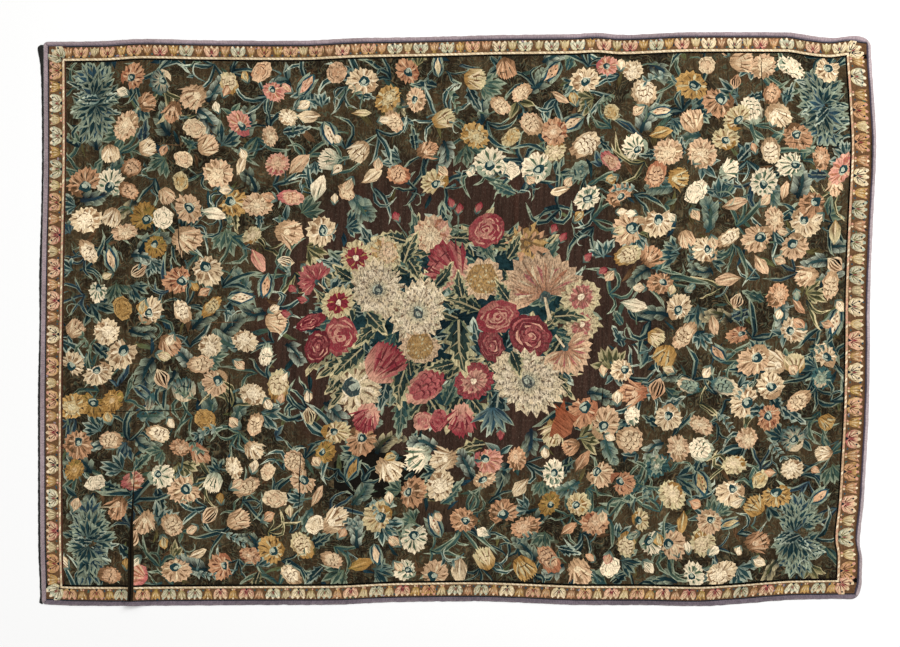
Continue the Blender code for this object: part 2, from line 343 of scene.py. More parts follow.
def ragged(rng: random.Random, radius: float, teeth: int, depth: float, stretch: float = 0.0,
           bite: float = 0.0, bite_turn: float = 0.0) -> list[Flat]:
    """A toothed outline that is drawn out one way and may have a bite out of one side.

    Args:
        rng: draws the teeth.
        radius: to the teeth's tips.
        teeth: how many.
        depth: share of the radius cut between teeth.
        stretch: how much longer it is along X than across.
        bite: how deep the bite is, as a share of the radius.
        bite_turn: the direction of the bite.
    Returns:
        The outline's points.
    """
    lean, lean_turn = rng.uniform(0.03, 0.1), rng.uniform(0, TURN)
    points: list[Flat] = []
    for i in range(2 * teeth):
        angle = TURN * (i + rng.uniform(-0.3, 0.3)) / (2 * teeth)
        off = (angle - bite_turn + math.pi) % TURN - math.pi
        reach = radius * (1.0 if i % 2 == 0 else 1.0 - depth * rng.uniform(0.6, 1.3))
        reach *= 1.0 + lean * math.cos(2 * angle - lean_turn) + rng.uniform(-0.04, 0.04)
        reach *= 1.0 - bite * math.exp(-(off / 0.42) ** 2)
        points.append((reach * math.cos(angle) * (1 + stretch),
                       reach * math.sin(angle) * (1 - stretch)))
    return points


@dataclass
class Flower:
    """A flower of the field; each kind is about one unit across before the pen's own size.

    The pen is at its middle, and the bloom gives its wools.
    """

    rng: random.Random
    pen: Pen
    bloom: Bloom

    def strokes(self, pen: Pen, count: int, start: float, end: float, width: float,
                wools: Sequence[Wool], first: float = 0.0, sweep: float = TURN,
                rim: float = 0.0, off: float = 0.0) -> None:
        """Petal strokes that run outward between two radii, in turn of each wool.

        Args:
            pen: at their common middle.
            count: how many.
            start: the inner radius.
            end: the outer radius, or the share of the way to `rim`.
            width: of each at its widest.
            wools: their wools in turn; brown ones are drawn narrower.
            first: the direction of the first.
            sweep: the angle that they spread over.
            rim: the radius of a round rim that the strokes reach towards, or 0.
            off: how far along X the middle of that rim lies from the pen.
        """
        rng = self.rng
        for i in range(count):
            angle = first + sweep * (i + rng.uniform(-0.35, 0.35)) / count
            wool = wools[i % len(wools)]
            half = width * (0.32 if wool in DARK_LINES else 0.46) * rng.uniform(0.8, 1.2)
            reach = end * rng.uniform(0.84, 1.04)
            if rim:
                far = off * math.cos(angle)
                reach *= far + math.sqrt(far * far + rim * rim - off * off)
            ray = pen.at(0, 0, angle)
            lean = rng.uniform(-0.03, 0.03)
            near = start + (0.3 if wool in DARK_LINES else 0.0) * (reach - start)
            ray.fill([(near, lean), (start + 0.66 * (reach - start), lean - half),
                      (reach, -lean), (start + 0.66 * (reach - start), lean + half)],
                     wool, streak=0.4, shade=rng.uniform(0.9, 1.1))

    def disc(self, pen: Pen, radius: float, wool: Wool, tip: Wool | None = None,
             sides: int = 9, streak: float = 0.3) -> None:
        """A round of wool, a little uneven.

        Args:
            pen: at its middle.
            radius: its radius.
            wool: the wool in its middle.
            tip: the wool at its rim, or None for the same.
            sides: how many corners it has.
            streak: how strongly the hatching shows.
        """
        rim = []
        for i in range(sides):
            reach = radius * self.rng.uniform(0.9, 1.1)
            rim.append((reach * math.cos(TURN * i / sides), reach * math.sin(TURN * i / sides)))
        pen.fill(rim, wool, tip, end=(radius, 0.0), polar=True, streak=streak)

    def crescent(self, pen: Pen, radius: float, start: float, sweep: float, thick: float,
                 wool: Wool, tip: Wool | None = None) -> None:
        """A curled petal's edge: an arc that is thin at both ends.

        Args:
            pen: at the arc's middle.
            radius: the arc's.
            start: the direction of its start.
            sweep: the angle that it takes up.
            thick: its thickness half way.
            wool: its wool.
            tip: the wool towards +X, or None for the same.
        """
        rim: list[Flat] = []
        for way, places in ((0.5, (0, 1, 2, 3, 4)), (-0.5, (3, 2, 1))):
            for t in (place / 4 for place in places):
                angle = start + sweep * t
                reach = radius + way * (thick * math.sin(math.pi * t))
                rim.append((reach * math.cos(angle), reach * math.sin(angle)))
        pen.fill(rim, wool, tip, streak=0.4, shade=self.rng.uniform(0.9, 1.1))

    def scales(self, pen: Pen, rows: Sequence[tuple[float, float, int]], bloom: Bloom) -> None:
        """Overlapping petal edges in rows.

        Args:
            pen: at the flower's middle.
            rows: the place along X, the half width and the count of each row, outermost first.
            bloom: the flower's wools.
        """
        for x, half, count in rows:
            for i in range(count):
                y = half * (2 * (i + 0.5) / count - 1)
                size = half / count * self.rng.uniform(1.15, 1.45)
                petal = pen.at(x + 0.1 * (1 - (y / (half + 1e-6)) ** 2), y,
                               0.9 * y + self.rng.uniform(-0.2, 0.2), size)
                petal.fill(ROUND_PETAL, bloom.outer, bloom.middle, start=(-1.6, 0), end=(1.0, 0),
                           streak=0.9, shade=self.rng.uniform(0.9, 1.1))
                self.crescent(petal, 1.0, -1.1, 2.2, 0.34, bloom.line)

    def eye(self, pen: Pen, radius: float, wool: Wool) -> None:
        """A swirled blue-green eye: dark outside, pale within.

        Args:
            pen: at its middle.
            radius: its radius.
            wool: its middle tone.
        """
        self.disc(pen, radius * 1.1, DEEP, wool, 8)
        self.crescent(pen, radius * 0.85, self.rng.uniform(0, TURN), 2.6, radius * 0.42, ICE)
        self.disc(pen.at(0.2 * radius, 0), radius * 0.5, wool, ICE, 6)

    def anemone(self) -> None:
        """An open flower with fringed petals round a blue eye that lies to one side."""
        rng, pen, bloom = self.rng, self.pen, self.bloom
        body = pen.at(0, 0, rng.choice((0.0, 0.5 * math.pi)))
        off = rng.uniform(0.04, 0.2)
        teeth = rng.randint(15, 18)
        bite = rng.uniform(0.45, 0.75) if rng.random() < 0.5 else 0.0
        body.fill(ragged(rng, 0.5, teeth, 0.17, 0.0, bite, math.pi), bloom.inner, bloom.outer,
                  start=(-off, 0), end=(0.46, 0), polar=True, streak=1.0)
        heart = body.at(-off, 0)
        gap = 1.0 if bite else 0.0
        self.crescent(heart, 0.34, rng.uniform(0, TURN), rng.uniform(1.6, 2.8), 0.2, bloom.inner,
                      bloom.line)
        self.strokes(heart, teeth, 0.12, 0.93, 0.085,
                     (bloom.middle, bloom.line, bloom.outer, bloom.line), gap - math.pi,
                     TURN - 2 * gap, 0.47, off)
        self.disc(heart, 0.185, bloom.inner, bloom.middle, 11, 0.9)
        self.eye(heart, rng.uniform(0.13, 0.175), bloom.eye)

    def plump(self) -> None:
        """A full oval flower, fringed all round and pale in its middle."""
        rng, pen, bloom = self.rng, self.pen, self.bloom
        pen.fill(ragged(rng, 0.49, rng.randint(15, 19), 0.16), bloom.line, bloom.outer,
                 end=(0.36, 0), polar=True, streak=1.0)
        self.crescent(pen, 0.33, rng.uniform(0, TURN), rng.uniform(1.8, 3.0), 0.24, bloom.inner,
                      bloom.line)
        self.strokes(pen, 15, 0.16, 0.45, 0.095, (bloom.outer, bloom.middle, bloom.line))
        off, side = rng.uniform(-0.06, 0.1), rng.uniform(-0.06, 0.06)
        inner = pen.at(off, side, 0.0, 1.0)
        inner.fill(ragged(rng, 0.29, 11, 0.2), bloom.outer, bloom.middle, end=(0.28, 0),
                   polar=True, streak=0.9)
        for i in range(5):
            start = TURN * i / 5 + rng.uniform(-0.3, 0.3)
            self.crescent(inner, rng.uniform(0.19, 0.27), start, rng.uniform(0.6, 1.0), 0.03,
                          bloom.line)
        self.disc(inner, 0.13, IVORY, bloom.middle, 8, 0.8)

    def scaly(self) -> None:
        """An oval flower of overlapping petals with dark edges."""
        rng, pen, bloom = self.rng, self.pen, self.bloom
        pen.fill(ragged(rng, 0.48, rng.randint(13, 17), 0.12, 0.04), bloom.inner, bloom.outer,
                 start=(-0.4, 0), end=(0.4, 0), streak=1.0)
        self.scales(pen, ((0.16, 0.28, 4), (0.02, 0.33, 4), (-0.14, 0.3, 3), (-0.28, 0.2, 2)),
                    bloom)

    def carnation(self) -> None:
        """A full fringed flower, its petals fanned from one side."""
        rng, pen, bloom = self.rng, self.pen, self.bloom
        pen.fill(ragged(rng, 0.48, rng.randint(16, 20), 0.14, rng.uniform(0.0, 0.1)),
                 bloom.inner, bloom.outer, start=(-0.42, 0), end=(0.4, 0), streak=1.0)
        self.crescent(pen, 0.3, rng.uniform(0, TURN), rng.uniform(1.6, 2.6), 0.24, bloom.inner,
                      bloom.line)
        base = pen.at(-0.42, rng.uniform(-0.06, 0.06))
        self.strokes(base, rng.randint(10, 13), 0.14, 0.9, 0.1,
                     (bloom.outer, bloom.line, bloom.middle), -0.8, 1.6)
        for out in (0.62, 0.36):
            for i in range(3):
                start = -0.52 + 0.36 * i + rng.uniform(-0.1, 0.1)
                self.crescent(base, out * rng.uniform(0.9, 1.1), start, 0.36, 0.035, bloom.line)
        self.disc(base.at(rng.uniform(0.28, 0.4), 0), 0.12, IVORY, bloom.middle, 7, 0.8)

    def pink(self) -> None:
        """A flower from the side: a toothed crown over a rounded cup."""
        rng, pen, bloom = self.rng, self.pen, self.bloom
        wide = rng.uniform(0.38, 0.46)
        cup: list[Flat] = [(-0.46, 0.0), (-0.42, -0.18), (-0.22, -wide * 0.96),
                           (0.06, -wide * 1.06)]
        teeth = rng.randint(7, 9)
        for i in range(2 * teeth + 1):
            side = -wide + 2 * wide * i / (2 * teeth)
            top = 0.46 - 0.9 * side * side
            cup.append((top - (0.09 if i % 2 else 0.0) + rng.uniform(-0.02, 0.02), side))
        cup += [(0.06, wide * 1.06), (-0.22, wide * 0.96), (-0.42, 0.18)]
        pen.fill(cup, bloom.inner, bloom.outer, start=(-0.4, 0), end=(0.35, 0), streak=1.0)
        base = pen.at(-0.44, 0)
        self.strokes(base, rng.randint(9, 11), 0.12, 0.84, 0.1,
                     (bloom.middle, bloom.line, bloom.outer), -0.62, 1.24)
        for i in range(3):
            self.crescent(base, rng.uniform(0.3, 0.6), -0.5 + 0.3 * i, 0.45, 0.04, bloom.line)

    def tulip(self) -> None:
        """A cup of blunt petals seen from the side, opening along +X."""
        rng, pen, bloom = self.rng, self.pen, self.bloom
        spread = rng.uniform(0.16, 0.34)
        for turn, reach, wool in ((-1.0, 0.84, bloom.inner), (1.0, 0.84, bloom.inner),
                                  (-0.45, 0.92, bloom.line), (0.45, 0.92, bloom.line),
                                  (0.0, 0.88, bloom.inner)):
            petal = pen.at(-0.46, 0, turn * spread)
            petal.fill(leaf_outline(reach * rng.uniform(0.94, 1.06), 0.36, 5, 0.62,
                                    -0.16 * turn), wool, bloom.outer, end=(0.62, 0), streak=1.0,
                       shade=rng.uniform(0.9, 1.08))
            vein = pen.at(-0.4, 0.012, turn * spread)
            vein.fill(leaf_outline(reach * 0.8, 0.07, 2, 0.5, -0.12 * turn), bloom.middle,
                      streak=0.4)
            vein = pen.at(-0.36, -0.06, turn * spread * 1.1)
            vein.fill(leaf_outline(reach * 0.62, 0.03, 1, 0.5), bloom.line, streak=0.1)

    def rose(self) -> None:
        """A full round flower of curled petals."""
        rng, pen, bloom = self.rng, self.pen, self.bloom
        body = pen.at(0, 0, rng.choice((0.0, 0.5 * math.pi)))
        body.fill(ragged(rng, 0.46, 10, 0.08), bloom.outer, bloom.middle, end=(0.45, 0),
                  polar=True, streak=0.9)
        for i in range(8):
            reach = 0.41 - 0.042 * i
            heart = body.at(rng.uniform(-0.04, 0.04) + 0.04, rng.uniform(-0.04, 0.04))
            start = 2.1 * i + rng.uniform(-0.5, 0.5)
            sweep = rng.uniform(1.0, 2.0)
            self.crescent(heart, reach, start, sweep, 0.036, bloom.line)
            self.crescent(heart, reach - 0.045, start + 0.15, sweep * 0.85, 0.08,
                          bloom.middle if i % 2 else bloom.outer)
        self.disc(body.at(0.04, 0.0), 0.06, bloom.inner, bloom.middle, 6)

    def bud(self) -> None:
        """A small round bud with two sepals."""
        rng, pen, bloom = self.rng, self.pen, self.bloom
        pen.fill(leaf_outline(0.8, 0.56, 5, 0.55), bloom.inner, bloom.outer, end=(0.5, 0),
                 streak=1.0)
        for side in (-1, 0, 1):
            fold = pen.at(0.06, 0.03 * side, side * 0.22)
            fold.fill(leaf_outline(0.66, 0.13, 2, 0.55, -0.1 * side), bloom.middle, streak=0.5)
            fold.fill(leaf_outline(0.56, 0.035, 1, 0.5, -0.1 * side), bloom.line, streak=0.1)
        for side in (-1, 1):
            sepal = pen.at(-0.1, 0, side * 0.5)
            sepal.fill(leaf_outline(rng.uniform(0.4, 0.6), 0.16, 2, 0.4, side * 0.08),
                       TEAL, MIST, end=(0.6, 0), streak=0.6)

    def striped_pod(self) -> None:
        """A round pod striped lengthways light and dark."""
        pen, bloom = self.pen, self.bloom
        body = pen.at(-0.42, 0)
        body.fill(leaf_outline(0.88, 0.74, 5, 0.5), bloom.middle, bloom.outer, end=(0.7, 0),
                  streak=0.8)
        for offset in (-0.66, -0.24, 0.24, 0.66):
            stripe: list[Flat] = []
            for i in range(5):
                t = 0.12 + 0.76 * i / 4
                stripe.append((0.88 * t, offset * 0.35 * math.sin(math.pi * t)))
            body.fill(ribbon_outline(stripe, (0.0, 0.07, 0.09, 0.07, 0.0)),
                      NIGHT if offset > 0 else bloom.line, streak=0.3)

    def calyx_pod(self) -> None:
        """A blue-green pod of overlapping bracts with a pale stippled heart."""
        rng, pen, bloom = self.rng, self.pen, self.bloom
        for side in (-1, 1):
            for turn, reach, wide, root, tip in ((0.46, 0.9, 0.36, SEA, MIST),
                                                 (0.34, 0.88, 0.28, DEEP, BLUE),
                                                 (0.2, 0.92, 0.22, MIST, SEA)):
                bract = pen.at(-0.47, 0, side * turn)
                bract.fill(leaf_outline(reach, wide, 3, 0.48, -side * 0.22), root, tip,
                           end=(0.8, 0), streak=0.9)
        heart = pen.at(-0.36, 0)
        heart.fill(leaf_outline(0.74, 0.32, 3, 0.5), bloom.outer, bloom.middle, end=(0.7, 0),
                   streak=0.9)
        for i in range(8):
            seed = heart.at(0.14 + 0.065 * i, (0.05 if i % 2 else -0.05) + rng.uniform(-0.02, 0.02))
            seed.fill([(0, -0.03), (0.05, 0), (0, 0.03), (-0.05, 0)],
                      bloom.line if i % 3 else CORAL, streak=0.2)


# ---- Leaves ----


class LeafTone(Enum):
    """Dark, middle and pale wools of a kind of foliage."""

    COOL = (Wool.DEEP, Wool.TEAL, Wool.MIST)
    SEA = (Wool.DEEP, Wool.SEA, Wool.ICE)
    GREEN = (Wool.TEAL, Wool.SAGE, Wool.MIST)
    BLUE = (Wool.NAVY, Wool.BLUE, Wool.MIST)
    OLIVE = (Wool.DEEP, Wool.OLIVE, Wool.STRAW)
    WORN = (Wool.DEEP, Wool.SAGE, Wool.STRAW)


@dataclass
class Leaf:
    """A leaf, a spray of leaves or a stem; one unit is a leaf's length.

    The pen is at its root and points along it, and the tone gives its wools.
    """

    rng: random.Random
    pen: Pen
    tone: LeafTone

    def strap(self, wide: float = 0.1) -> None:
        """A long winding blade, dark with a pale edge.

        Args:
            wide: its width.
        """
        rng, pen = self.rng, self.pen
        dark, middle, pale = self.tone.value
        side = rng.choice((-1, 1))
        path = curl_path(1.0, side * rng.uniform(0.4, 2.6), 6, rng.uniform(-0.6, 0.6))
        wide *= rng.uniform(0.75, 1.25)
        swell = (0.35, 0.85, 1.0, 1.0, 0.85, 0.6, 0.0)
        pen.fill(ribbon_outline(path, [wide * part for part in swell]), middle, pale,
                 end=path[4], streak=0.8, shade=rng.uniform(0.9, 1.1))
        core = [(x, y - 0.14 * wide * side) for x, y in path[:6]]
        pen.fill(ribbon_outline(core, [wide * 0.6 * part for part in swell[:5]] + [0.0]), dark,
                 middle, end=path[-1], streak=1.0)

    def strap_bunch(self) -> None:
        """A fan of long blades from one root."""
        rng, pen = self.rng, self.pen
        count = rng.randint(3, 5)
        order = list(range(count))
        rng.shuffle(order)
        for i in order:
            turn = (i - 0.5 * (count - 1)) * 0.5 + rng.uniform(-0.2, 0.2)
            Leaf(rng, pen.at(0, 0, turn, rng.uniform(0.65, 1.2)), self.tone).strap()

    def ovate(self, wide: float = 0.44) -> None:
        """A plain leaf with a pale edge, one half darker than the other.

        Args:
            wide: its width.
        """
        pen = self.pen
        dark, middle, pale = self.tone.value
        bend = self.rng.uniform(-0.2, 0.2)
        pen.fill(leaf_outline(1.0, wide, 4, 0.42, bend), middle, pale, end=(1.0, bend), streak=0.9)
        half = leaf_outline(0.92, wide * 0.74, 4, 0.42, bend * 0.85)
        pen.fill(half, dark, middle, end=(1.0, bend), streak=0.9)
        pen.fill(half[:6], middle, pale, end=(1.8, bend), streak=0.9)

    def ovate_group(self) -> None:
        """Two or three plain leaves on one short stalk."""
        rng, pen = self.rng, self.pen
        for turn in (-0.85, 0.85, 0.0)[: rng.randint(2, 3)]:
            Leaf(rng, pen.at(0, 0, turn + rng.uniform(-0.2, 0.2), rng.uniform(0.5, 0.8)),
                 self.tone).ovate()

    def feathered(self, pairs: int = 4) -> None:
        """A cut leaf: dark towards its bending rib, with pale pointed lobes on both sides.

        Args:
            pairs: how many pairs of lobes.
        """
        rng, pen = self.rng, self.pen
        dark, middle, pale = self.tone.value
        bend = rng.uniform(-1.5, 1.5)
        path = curl_path(1.0, bend, pairs + 1)
        for i in range(pairs + 1, 0, -1):
            x, y = path[i]
            heading = bend * i / (pairs + 1)
            reach = 0.46 * math.sin(math.pi * (0.22 + 0.62 * i / (pairs + 1)))
            for side in (-1, 1) if i <= pairs else (0,):
                lobe = pen.at(x - 0.14, y, heading + side * rng.uniform(0.45, 0.95))
                far = reach * rng.uniform(0.75, 1.25)
                lobe.fill(leaf_outline(far, 0.23, 3, 0.55, -side * 0.1), dark, pale,
                          start=(0.25 * far, 0), end=(far, 0), streak=0.9,
                          shade=rng.uniform(0.85, 1.15))
        pen.fill(ribbon_outline(path[:-1], (0.12,) + (0.1,) * (pairs - 1) + (0.0,)), dark,
                 middle, streak=0.5)

    def toothed_leaf(self, wide: float = 0.52) -> None:
        """A broad leaf with a pale toothed edge, a dark middle and pale veins.

        Args:
            wide: its width.
        """
        rng, pen = self.rng, self.pen
        dark, middle, pale = self.tone.value
        bend = rng.uniform(-0.35, 0.35)
        teeth = rng.randint(4, 6)
        for far, share, notch, first, last in ((1.0, 1.0, 0.6, middle, pale),
                                               (0.9, 0.64, 0.66, dark, middle)):
            edge: list[Flat] = []
            for side in (-1, 1):
                run: list[Flat] = []
                for i in range(1, 2 * teeth):
                    t = far * i / (2 * teeth)
                    half = 0.5 * wide * share * math.sin(math.pi * (i / (2 * teeth)) ** 0.8)
                    half *= (1.0 if i % 2 else notch) * rng.uniform(0.86, 1.14)
                    run.append((t - (0.0 if i % 2 else 0.05), bend * t * t + side * half))
                edge += run if side < 0 else [(far, bend * far)] + run[::-1]
            pen.fill([(0.0, 0.0)] + edge, first, last, end=(0.9 if share > 0.9 else 1.7, 0.0),
                     streak=1.0)
        pen.fill(ribbon_outline([(0.02, 0.0), (0.5, bend * 0.25), (0.92, bend * 0.85)],
                                (0.04, 0.035, 0.0)), pale, streak=0.1, shade=0.62)
        for i in range(3):
            t = 0.2 + 0.18 * i
            for side in (-1, 1):
                vein = pen.at(t, bend * t * t, side * 0.75)
                vein.fill([(0.0, -0.014), (0.0, 0.014), (0.19 * math.sin(math.pi * t), 0.0)], pale,
                          streak=0.1, shade=0.55)

    def palmate(self) -> None:
        """A leaf of spreading toothed lobes, dark at the root and along each lobe."""
        rng, pen = self.rng, self.pen
        dark, middle, pale = self.tone.value
        lobes = rng.choice((5, 6, 7))
        half = (lobes - 1) / 2
        for i in sorted(range(lobes), key=lambda k: -abs(k - half)):
            turn = (i - half) * 2.4 / lobes + rng.uniform(-0.12, 0.12)
            reach = (0.52 + 0.42 * math.cos(turn)) * rng.uniform(0.75, 1.12)
            lobe = pen.at(0.04 * abs(i - half), 0, turn)
            bend = rng.uniform(-0.14, 0.14)
            rim: list[Flat] = [(0.0, 0.0)]
            for t, y in ((0.42, -0.12), (0.5, -0.08), (0.7, -0.15), (1.0, 0.0),
                         (0.68, 0.15), (0.52, 0.08), (0.4, 0.13)):
                rim.append((reach * t, y + bend * t * t))
            lobe.fill(rim, middle, pale, end=(reach, 0), streak=1.0, shade=rng.uniform(0.8, 1.12))
            lobe.fill([(0.12 * reach, 0.0), (0.56 * reach, bend * 0.3 - 0.085),
                       (0.9 * reach, bend * 0.8), (0.54 * reach, bend * 0.3 + 0.08)],
                      dark, middle, end=(1.1 * reach, 0), streak=1.0)

    def curl(self) -> None:
        """A pale tendril that rolls up at its end, with one small leaf."""
        pen = self.pen
        _, middle, pale = self.tone.value
        side = self.rng.choice((-1, 1))
        x = y = 0.0
        path = [(0.0, 0.0)]
        for i in range(8):
            angle = side * (0.1 * i + 0.052 * i * i)
            x += 0.17 * math.cos(angle)
            y += 0.17 * math.sin(angle)
            path.append((x, y))
        pen.fill(ribbon_outline(path, (0.03, 0.05, 0.055, 0.055, 0.05, 0.05, 0.045, 0.04, 0.0)),
                 middle, pale, end=path[5], streak=0.4)
        Leaf(self.rng, pen.at(*path[3], -side * 0.7, 0.38), self.tone).ovate()

    def sprig(self) -> None:
        """A thin stem with small leaves in pairs."""
        pen = self.pen
        _, middle, pale = self.tone.value
        path = curl_path(1.0, self.rng.uniform(-0.9, 0.9), 4)
        pen.fill(ribbon_outline(path, (0.035,) * 4 + (0.0,)), pale, middle, end=path[-1],
                 streak=0.2)
        for i, (x, y) in enumerate(path[1:]):
            for side in (-1, 1):
                leaf = pen.at(x, y, side * self.rng.uniform(0.5, 0.9), 0.3)
                leaf.fill(leaf_outline(1.0, 0.5, 2), middle, pale, streak=0.8)
                if i % 2:
                    leaf.fill(leaf_outline(0.8, 0.22, 1), TEAL, middle, streak=0.4)

    def stem(self, length: float, bend: float, wide: float) -> None:
        """A thin bending stem in metres, pale on one side.

        Args:
            length: its length.
            bend: the turn from end to end.
            wide: its width.
        """
        pen = self.pen
        dark, middle, pale = self.tone.value
        path = curl_path(length, bend, 5)
        pen.fill(ribbon_outline(path, (wide,) * 6), middle, pale, end=path[-1], streak=0.3)
        pen.fill(ribbon_outline([(x, y - 0.2 * wide) for x, y in path[1:]], (wide * 0.35,) * 5),
                 dark, streak=0.2)


@dataclass
class PosyFlower(Flower):
    """A flower of the central posy, which has larger kinds too."""

    def peony(self) -> None:
        """A great flower of fringed rings round a blue eye."""
        rng, pen, bloom = self.rng, self.pen, self.bloom
        disc = pen.at(0, 0, rng.uniform(0, TURN), 1.0, rng.uniform(0.84, 1.0))
        bite_turn = rng.uniform(0, TURN)
        for i, (reach, teeth) in enumerate(((0.5, 21), (0.37, 16), (0.24, 11))):
            root, tip = ((bloom.inner, bloom.outer), (bloom.line, bloom.middle))[i % 2]
            rim = ragged(rng, reach, teeth, 0.2, 0.04, 0.12 * i, bite_turn)
            disc.fill(rim, root, tip, end=(reach * 0.95, 0), polar=True, streak=1.0)
            self.strokes(disc, teeth, reach * 0.55, reach * 0.93, 0.05,
                         (bloom.outer, bloom.line, bloom.middle))
        self.eye(disc, 0.085, bloom.eye)

    def ringed(self) -> None:
        """A flower whose pale ruff surrounds a deep-coloured heart."""
        rng, pen, bloom = self.rng, self.pen, self.bloom
        pen.fill(ragged(rng, 0.5, 15, 0.15), bloom.middle, bloom.outer, end=(0.42, 0),
                 polar=True, streak=1.0)
        self.strokes(pen, 14, 0.28, 0.46, 0.07, (bloom.outer, bloom.line))
        pen.fill(ragged(rng, 0.33, 13, 0.2), bloom.line, bloom.inner, end=(0.3, 0), polar=True,
                 streak=1.0)
        self.strokes(pen, 15, 0.1, 0.3, 0.06, (bloom.inner, bloom.middle, bloom.line))
        self.disc(pen.at(rng.uniform(-0.03, 0.03), 0), 0.085, bloom.middle, IVORY, 7, 0.8)

    def chrysanthemum(self) -> None:
        """Rings of narrow pointed petals round a small heart."""
        rng, pen, bloom = self.rng, self.pen, self.bloom
        disc = pen.at(0, 0, rng.uniform(0, TURN), 1.0, rng.uniform(0.84, 1.0))
        self.disc(disc, 0.36, bloom.line, bloom.inner, 12)
        for reach, count, wide in ((0.5, 16, 0.12), (0.38, 13, 0.1), (0.25, 10, 0.08)):
            self.strokes(disc, count, 0.1, reach, wide, (bloom.outer, bloom.middle, bloom.line),
                         rng.uniform(0, TURN))
        self.disc(disc, 0.07, bloom.line, bloom.inner, 7)

    def ball(self) -> None:
        """A seeded round with a ruff of short petals."""
        rng, pen, bloom = self.rng, self.pen, self.bloom
        pen.fill(ragged(rng, 0.5, 14, 0.16, 0.05), bloom.outer, bloom.middle, end=(0.48, 0),
                 polar=True, streak=0.9)
        self.disc(pen, 0.37, bloom.inner, bloom.line, 12)
        for i in range(26):
            reach = 0.32 * math.sqrt((i + 0.5) / 26)
            angle = i * GOLDEN_TURN
            seed = pen.at(reach * math.cos(angle), reach * math.sin(angle), angle,
                          rng.uniform(0.035, 0.055))
            seed.fill([(-1, 0), (0, -0.7), (1, 0), (0, 0.7)], bloom.outer if i % 2 else bloom.line,
                      streak=0.1)

    def fan(self) -> None:
        """A flower seen from the side, its petals fanned round a stalked heart."""
        rng, pen, bloom = self.rng, self.pen, self.bloom
        count = 13
        for i in sorted(range(count), key=lambda k: -abs(k - count // 2)):
            angle = (i - count // 2) * 0.27
            petal = pen.at(-0.16, 0, angle, 1.0)
            reach = 0.62 * (1.0 + 0.06 * math.cos(angle)) * rng.uniform(0.9, 1.06)
            petal.fill(leaf_outline(reach, 0.24, 3, 0.66), bloom.line, bloom.outer,
                       end=(reach * 0.8, 0), streak=1.0, shade=rng.uniform(0.8, 1.08))
        self.strokes(pen.at(-0.16, 0), 16, 0.16, 0.5, 0.05,
                     (bloom.middle, bloom.line, bloom.inner), -1.75, 3.5)
        heart = pen.at(-0.2, 0)
        self.disc(heart, 0.095, DEEP, SEA, 7)
        heart.fill([(-0.34, -0.03), (0.0, -0.02), (0.0, 0.02), (-0.34, 0.03)], CREAM)

    def cabbage(self) -> None:
        """A rose of many close petals, darker at its rim."""
        rng, pen, bloom = self.rng, self.pen, self.bloom
        body = pen.at(0, 0, rng.uniform(0, TURN), 1.0, rng.uniform(0.82, 0.98))
        body.fill(ragged(rng, 0.5, 10, 0.08, 0.04), bloom.middle, bloom.line, end=(0.5, 0),
                  polar=True, streak=0.9)
        for ring, (reach, petals, thick) in enumerate(((0.43, 6, 0.1), (0.33, 5, 0.09),
                                                       (0.23, 4, 0.08), (0.13, 3, 0.06))):
            for i in range(petals):
                start = TURN * (i + 0.5 * ring) / petals + rng.uniform(-0.5, 0.5)
                sweep = TURN / petals * rng.uniform(0.8, 1.3)
                petal = body.at(rng.uniform(-0.05, 0.05), rng.uniform(-0.05, 0.05))
                far = reach * rng.uniform(0.86, 1.06)
                self.crescent(petal, far, start, sweep, thick * 1.25, bloom.line, bloom.outer)
                self.crescent(petal, far - thick * 0.5, start + 0.1, sweep * 0.8, thick * 0.75,
                              rng.choice((bloom.middle, bloom.inner, bloom.middle)), bloom.outer)
                self.crescent(petal, far - thick * 0.8, start + 0.2, sweep * 0.6, thick * 0.3,
                              bloom.line)
        self.disc(body, 0.05, bloom.inner, None, 5)


# ---- The layout of the weaving ----

WOVEN_WIDE = 2.77          # the flat weaving inside the tapes
WOVEN_TALL = 1.875
GUARD_SHADE = 0.006        # width of the dark line inside the guard
CLEARING_X = 0.545          # half of the plain ground round the posy
CLEARING_Y = 0.415


class Side(Enum):
    """A side of the weaving: its outward turn, and the depths of its zones in metres.

    `edge` is the plain zone outside the border's motifs, `band` the whole border with that zone,
    and `guard` the twisted guard line.
    """

    RIGHT = (0.0, 0.0045, 0.058, 0.0095)
    TOP = (0.5 * math.pi, 0.0025, 0.04, 0.009)
    LEFT = (math.pi, 0.003, 0.046, 0.0085)
    BOTTOM = (1.5 * math.pi, 0.003, 0.04, 0.0085)

    def __init__(self, turn: float, edge: float, band: float, guard: float) -> None:
        """Name the row's values."""
        self.turn, self.edge, self.band, self.guard = turn, edge, band, guard

    @property
    def word(self) -> str:
        """Its name in the names of pieces."""
        return self.name.lower()

    @property
    def long(self) -> bool:
        """True along the top and bottom."""
        return self in (Side.TOP, Side.BOTTOM)

    @property
    def reach(self) -> float:
        """From the middle of the weaving to this side."""
        return (WOVEN_TALL if self.long else WOVEN_WIDE) / 2

    @property
    def run(self) -> float:
        """The side's length."""
        return WOVEN_WIDE if self.long else WOVEN_TALL

    @property
    def depth(self) -> float:
        """Everything outside the field."""
        return self.band + self.guard + GUARD_SHADE

    @property
    def beside(self) -> tuple["Side", "Side"]:
        """The sides at its start and its end, walking anticlockwise.

        Returns:
            The two sides.
        """
        order = list(Side)
        at = order.index(self)
        return order[at - 1], order[(at + 1) % 4]


FIELD_X = (-WOVEN_WIDE / 2 + Side.LEFT.depth, WOVEN_WIDE / 2 - Side.RIGHT.depth)
FIELD_Y = (-WOVEN_TALL / 2 + Side.BOTTOM.depth, WOVEN_TALL / 2 - Side.TOP.depth)


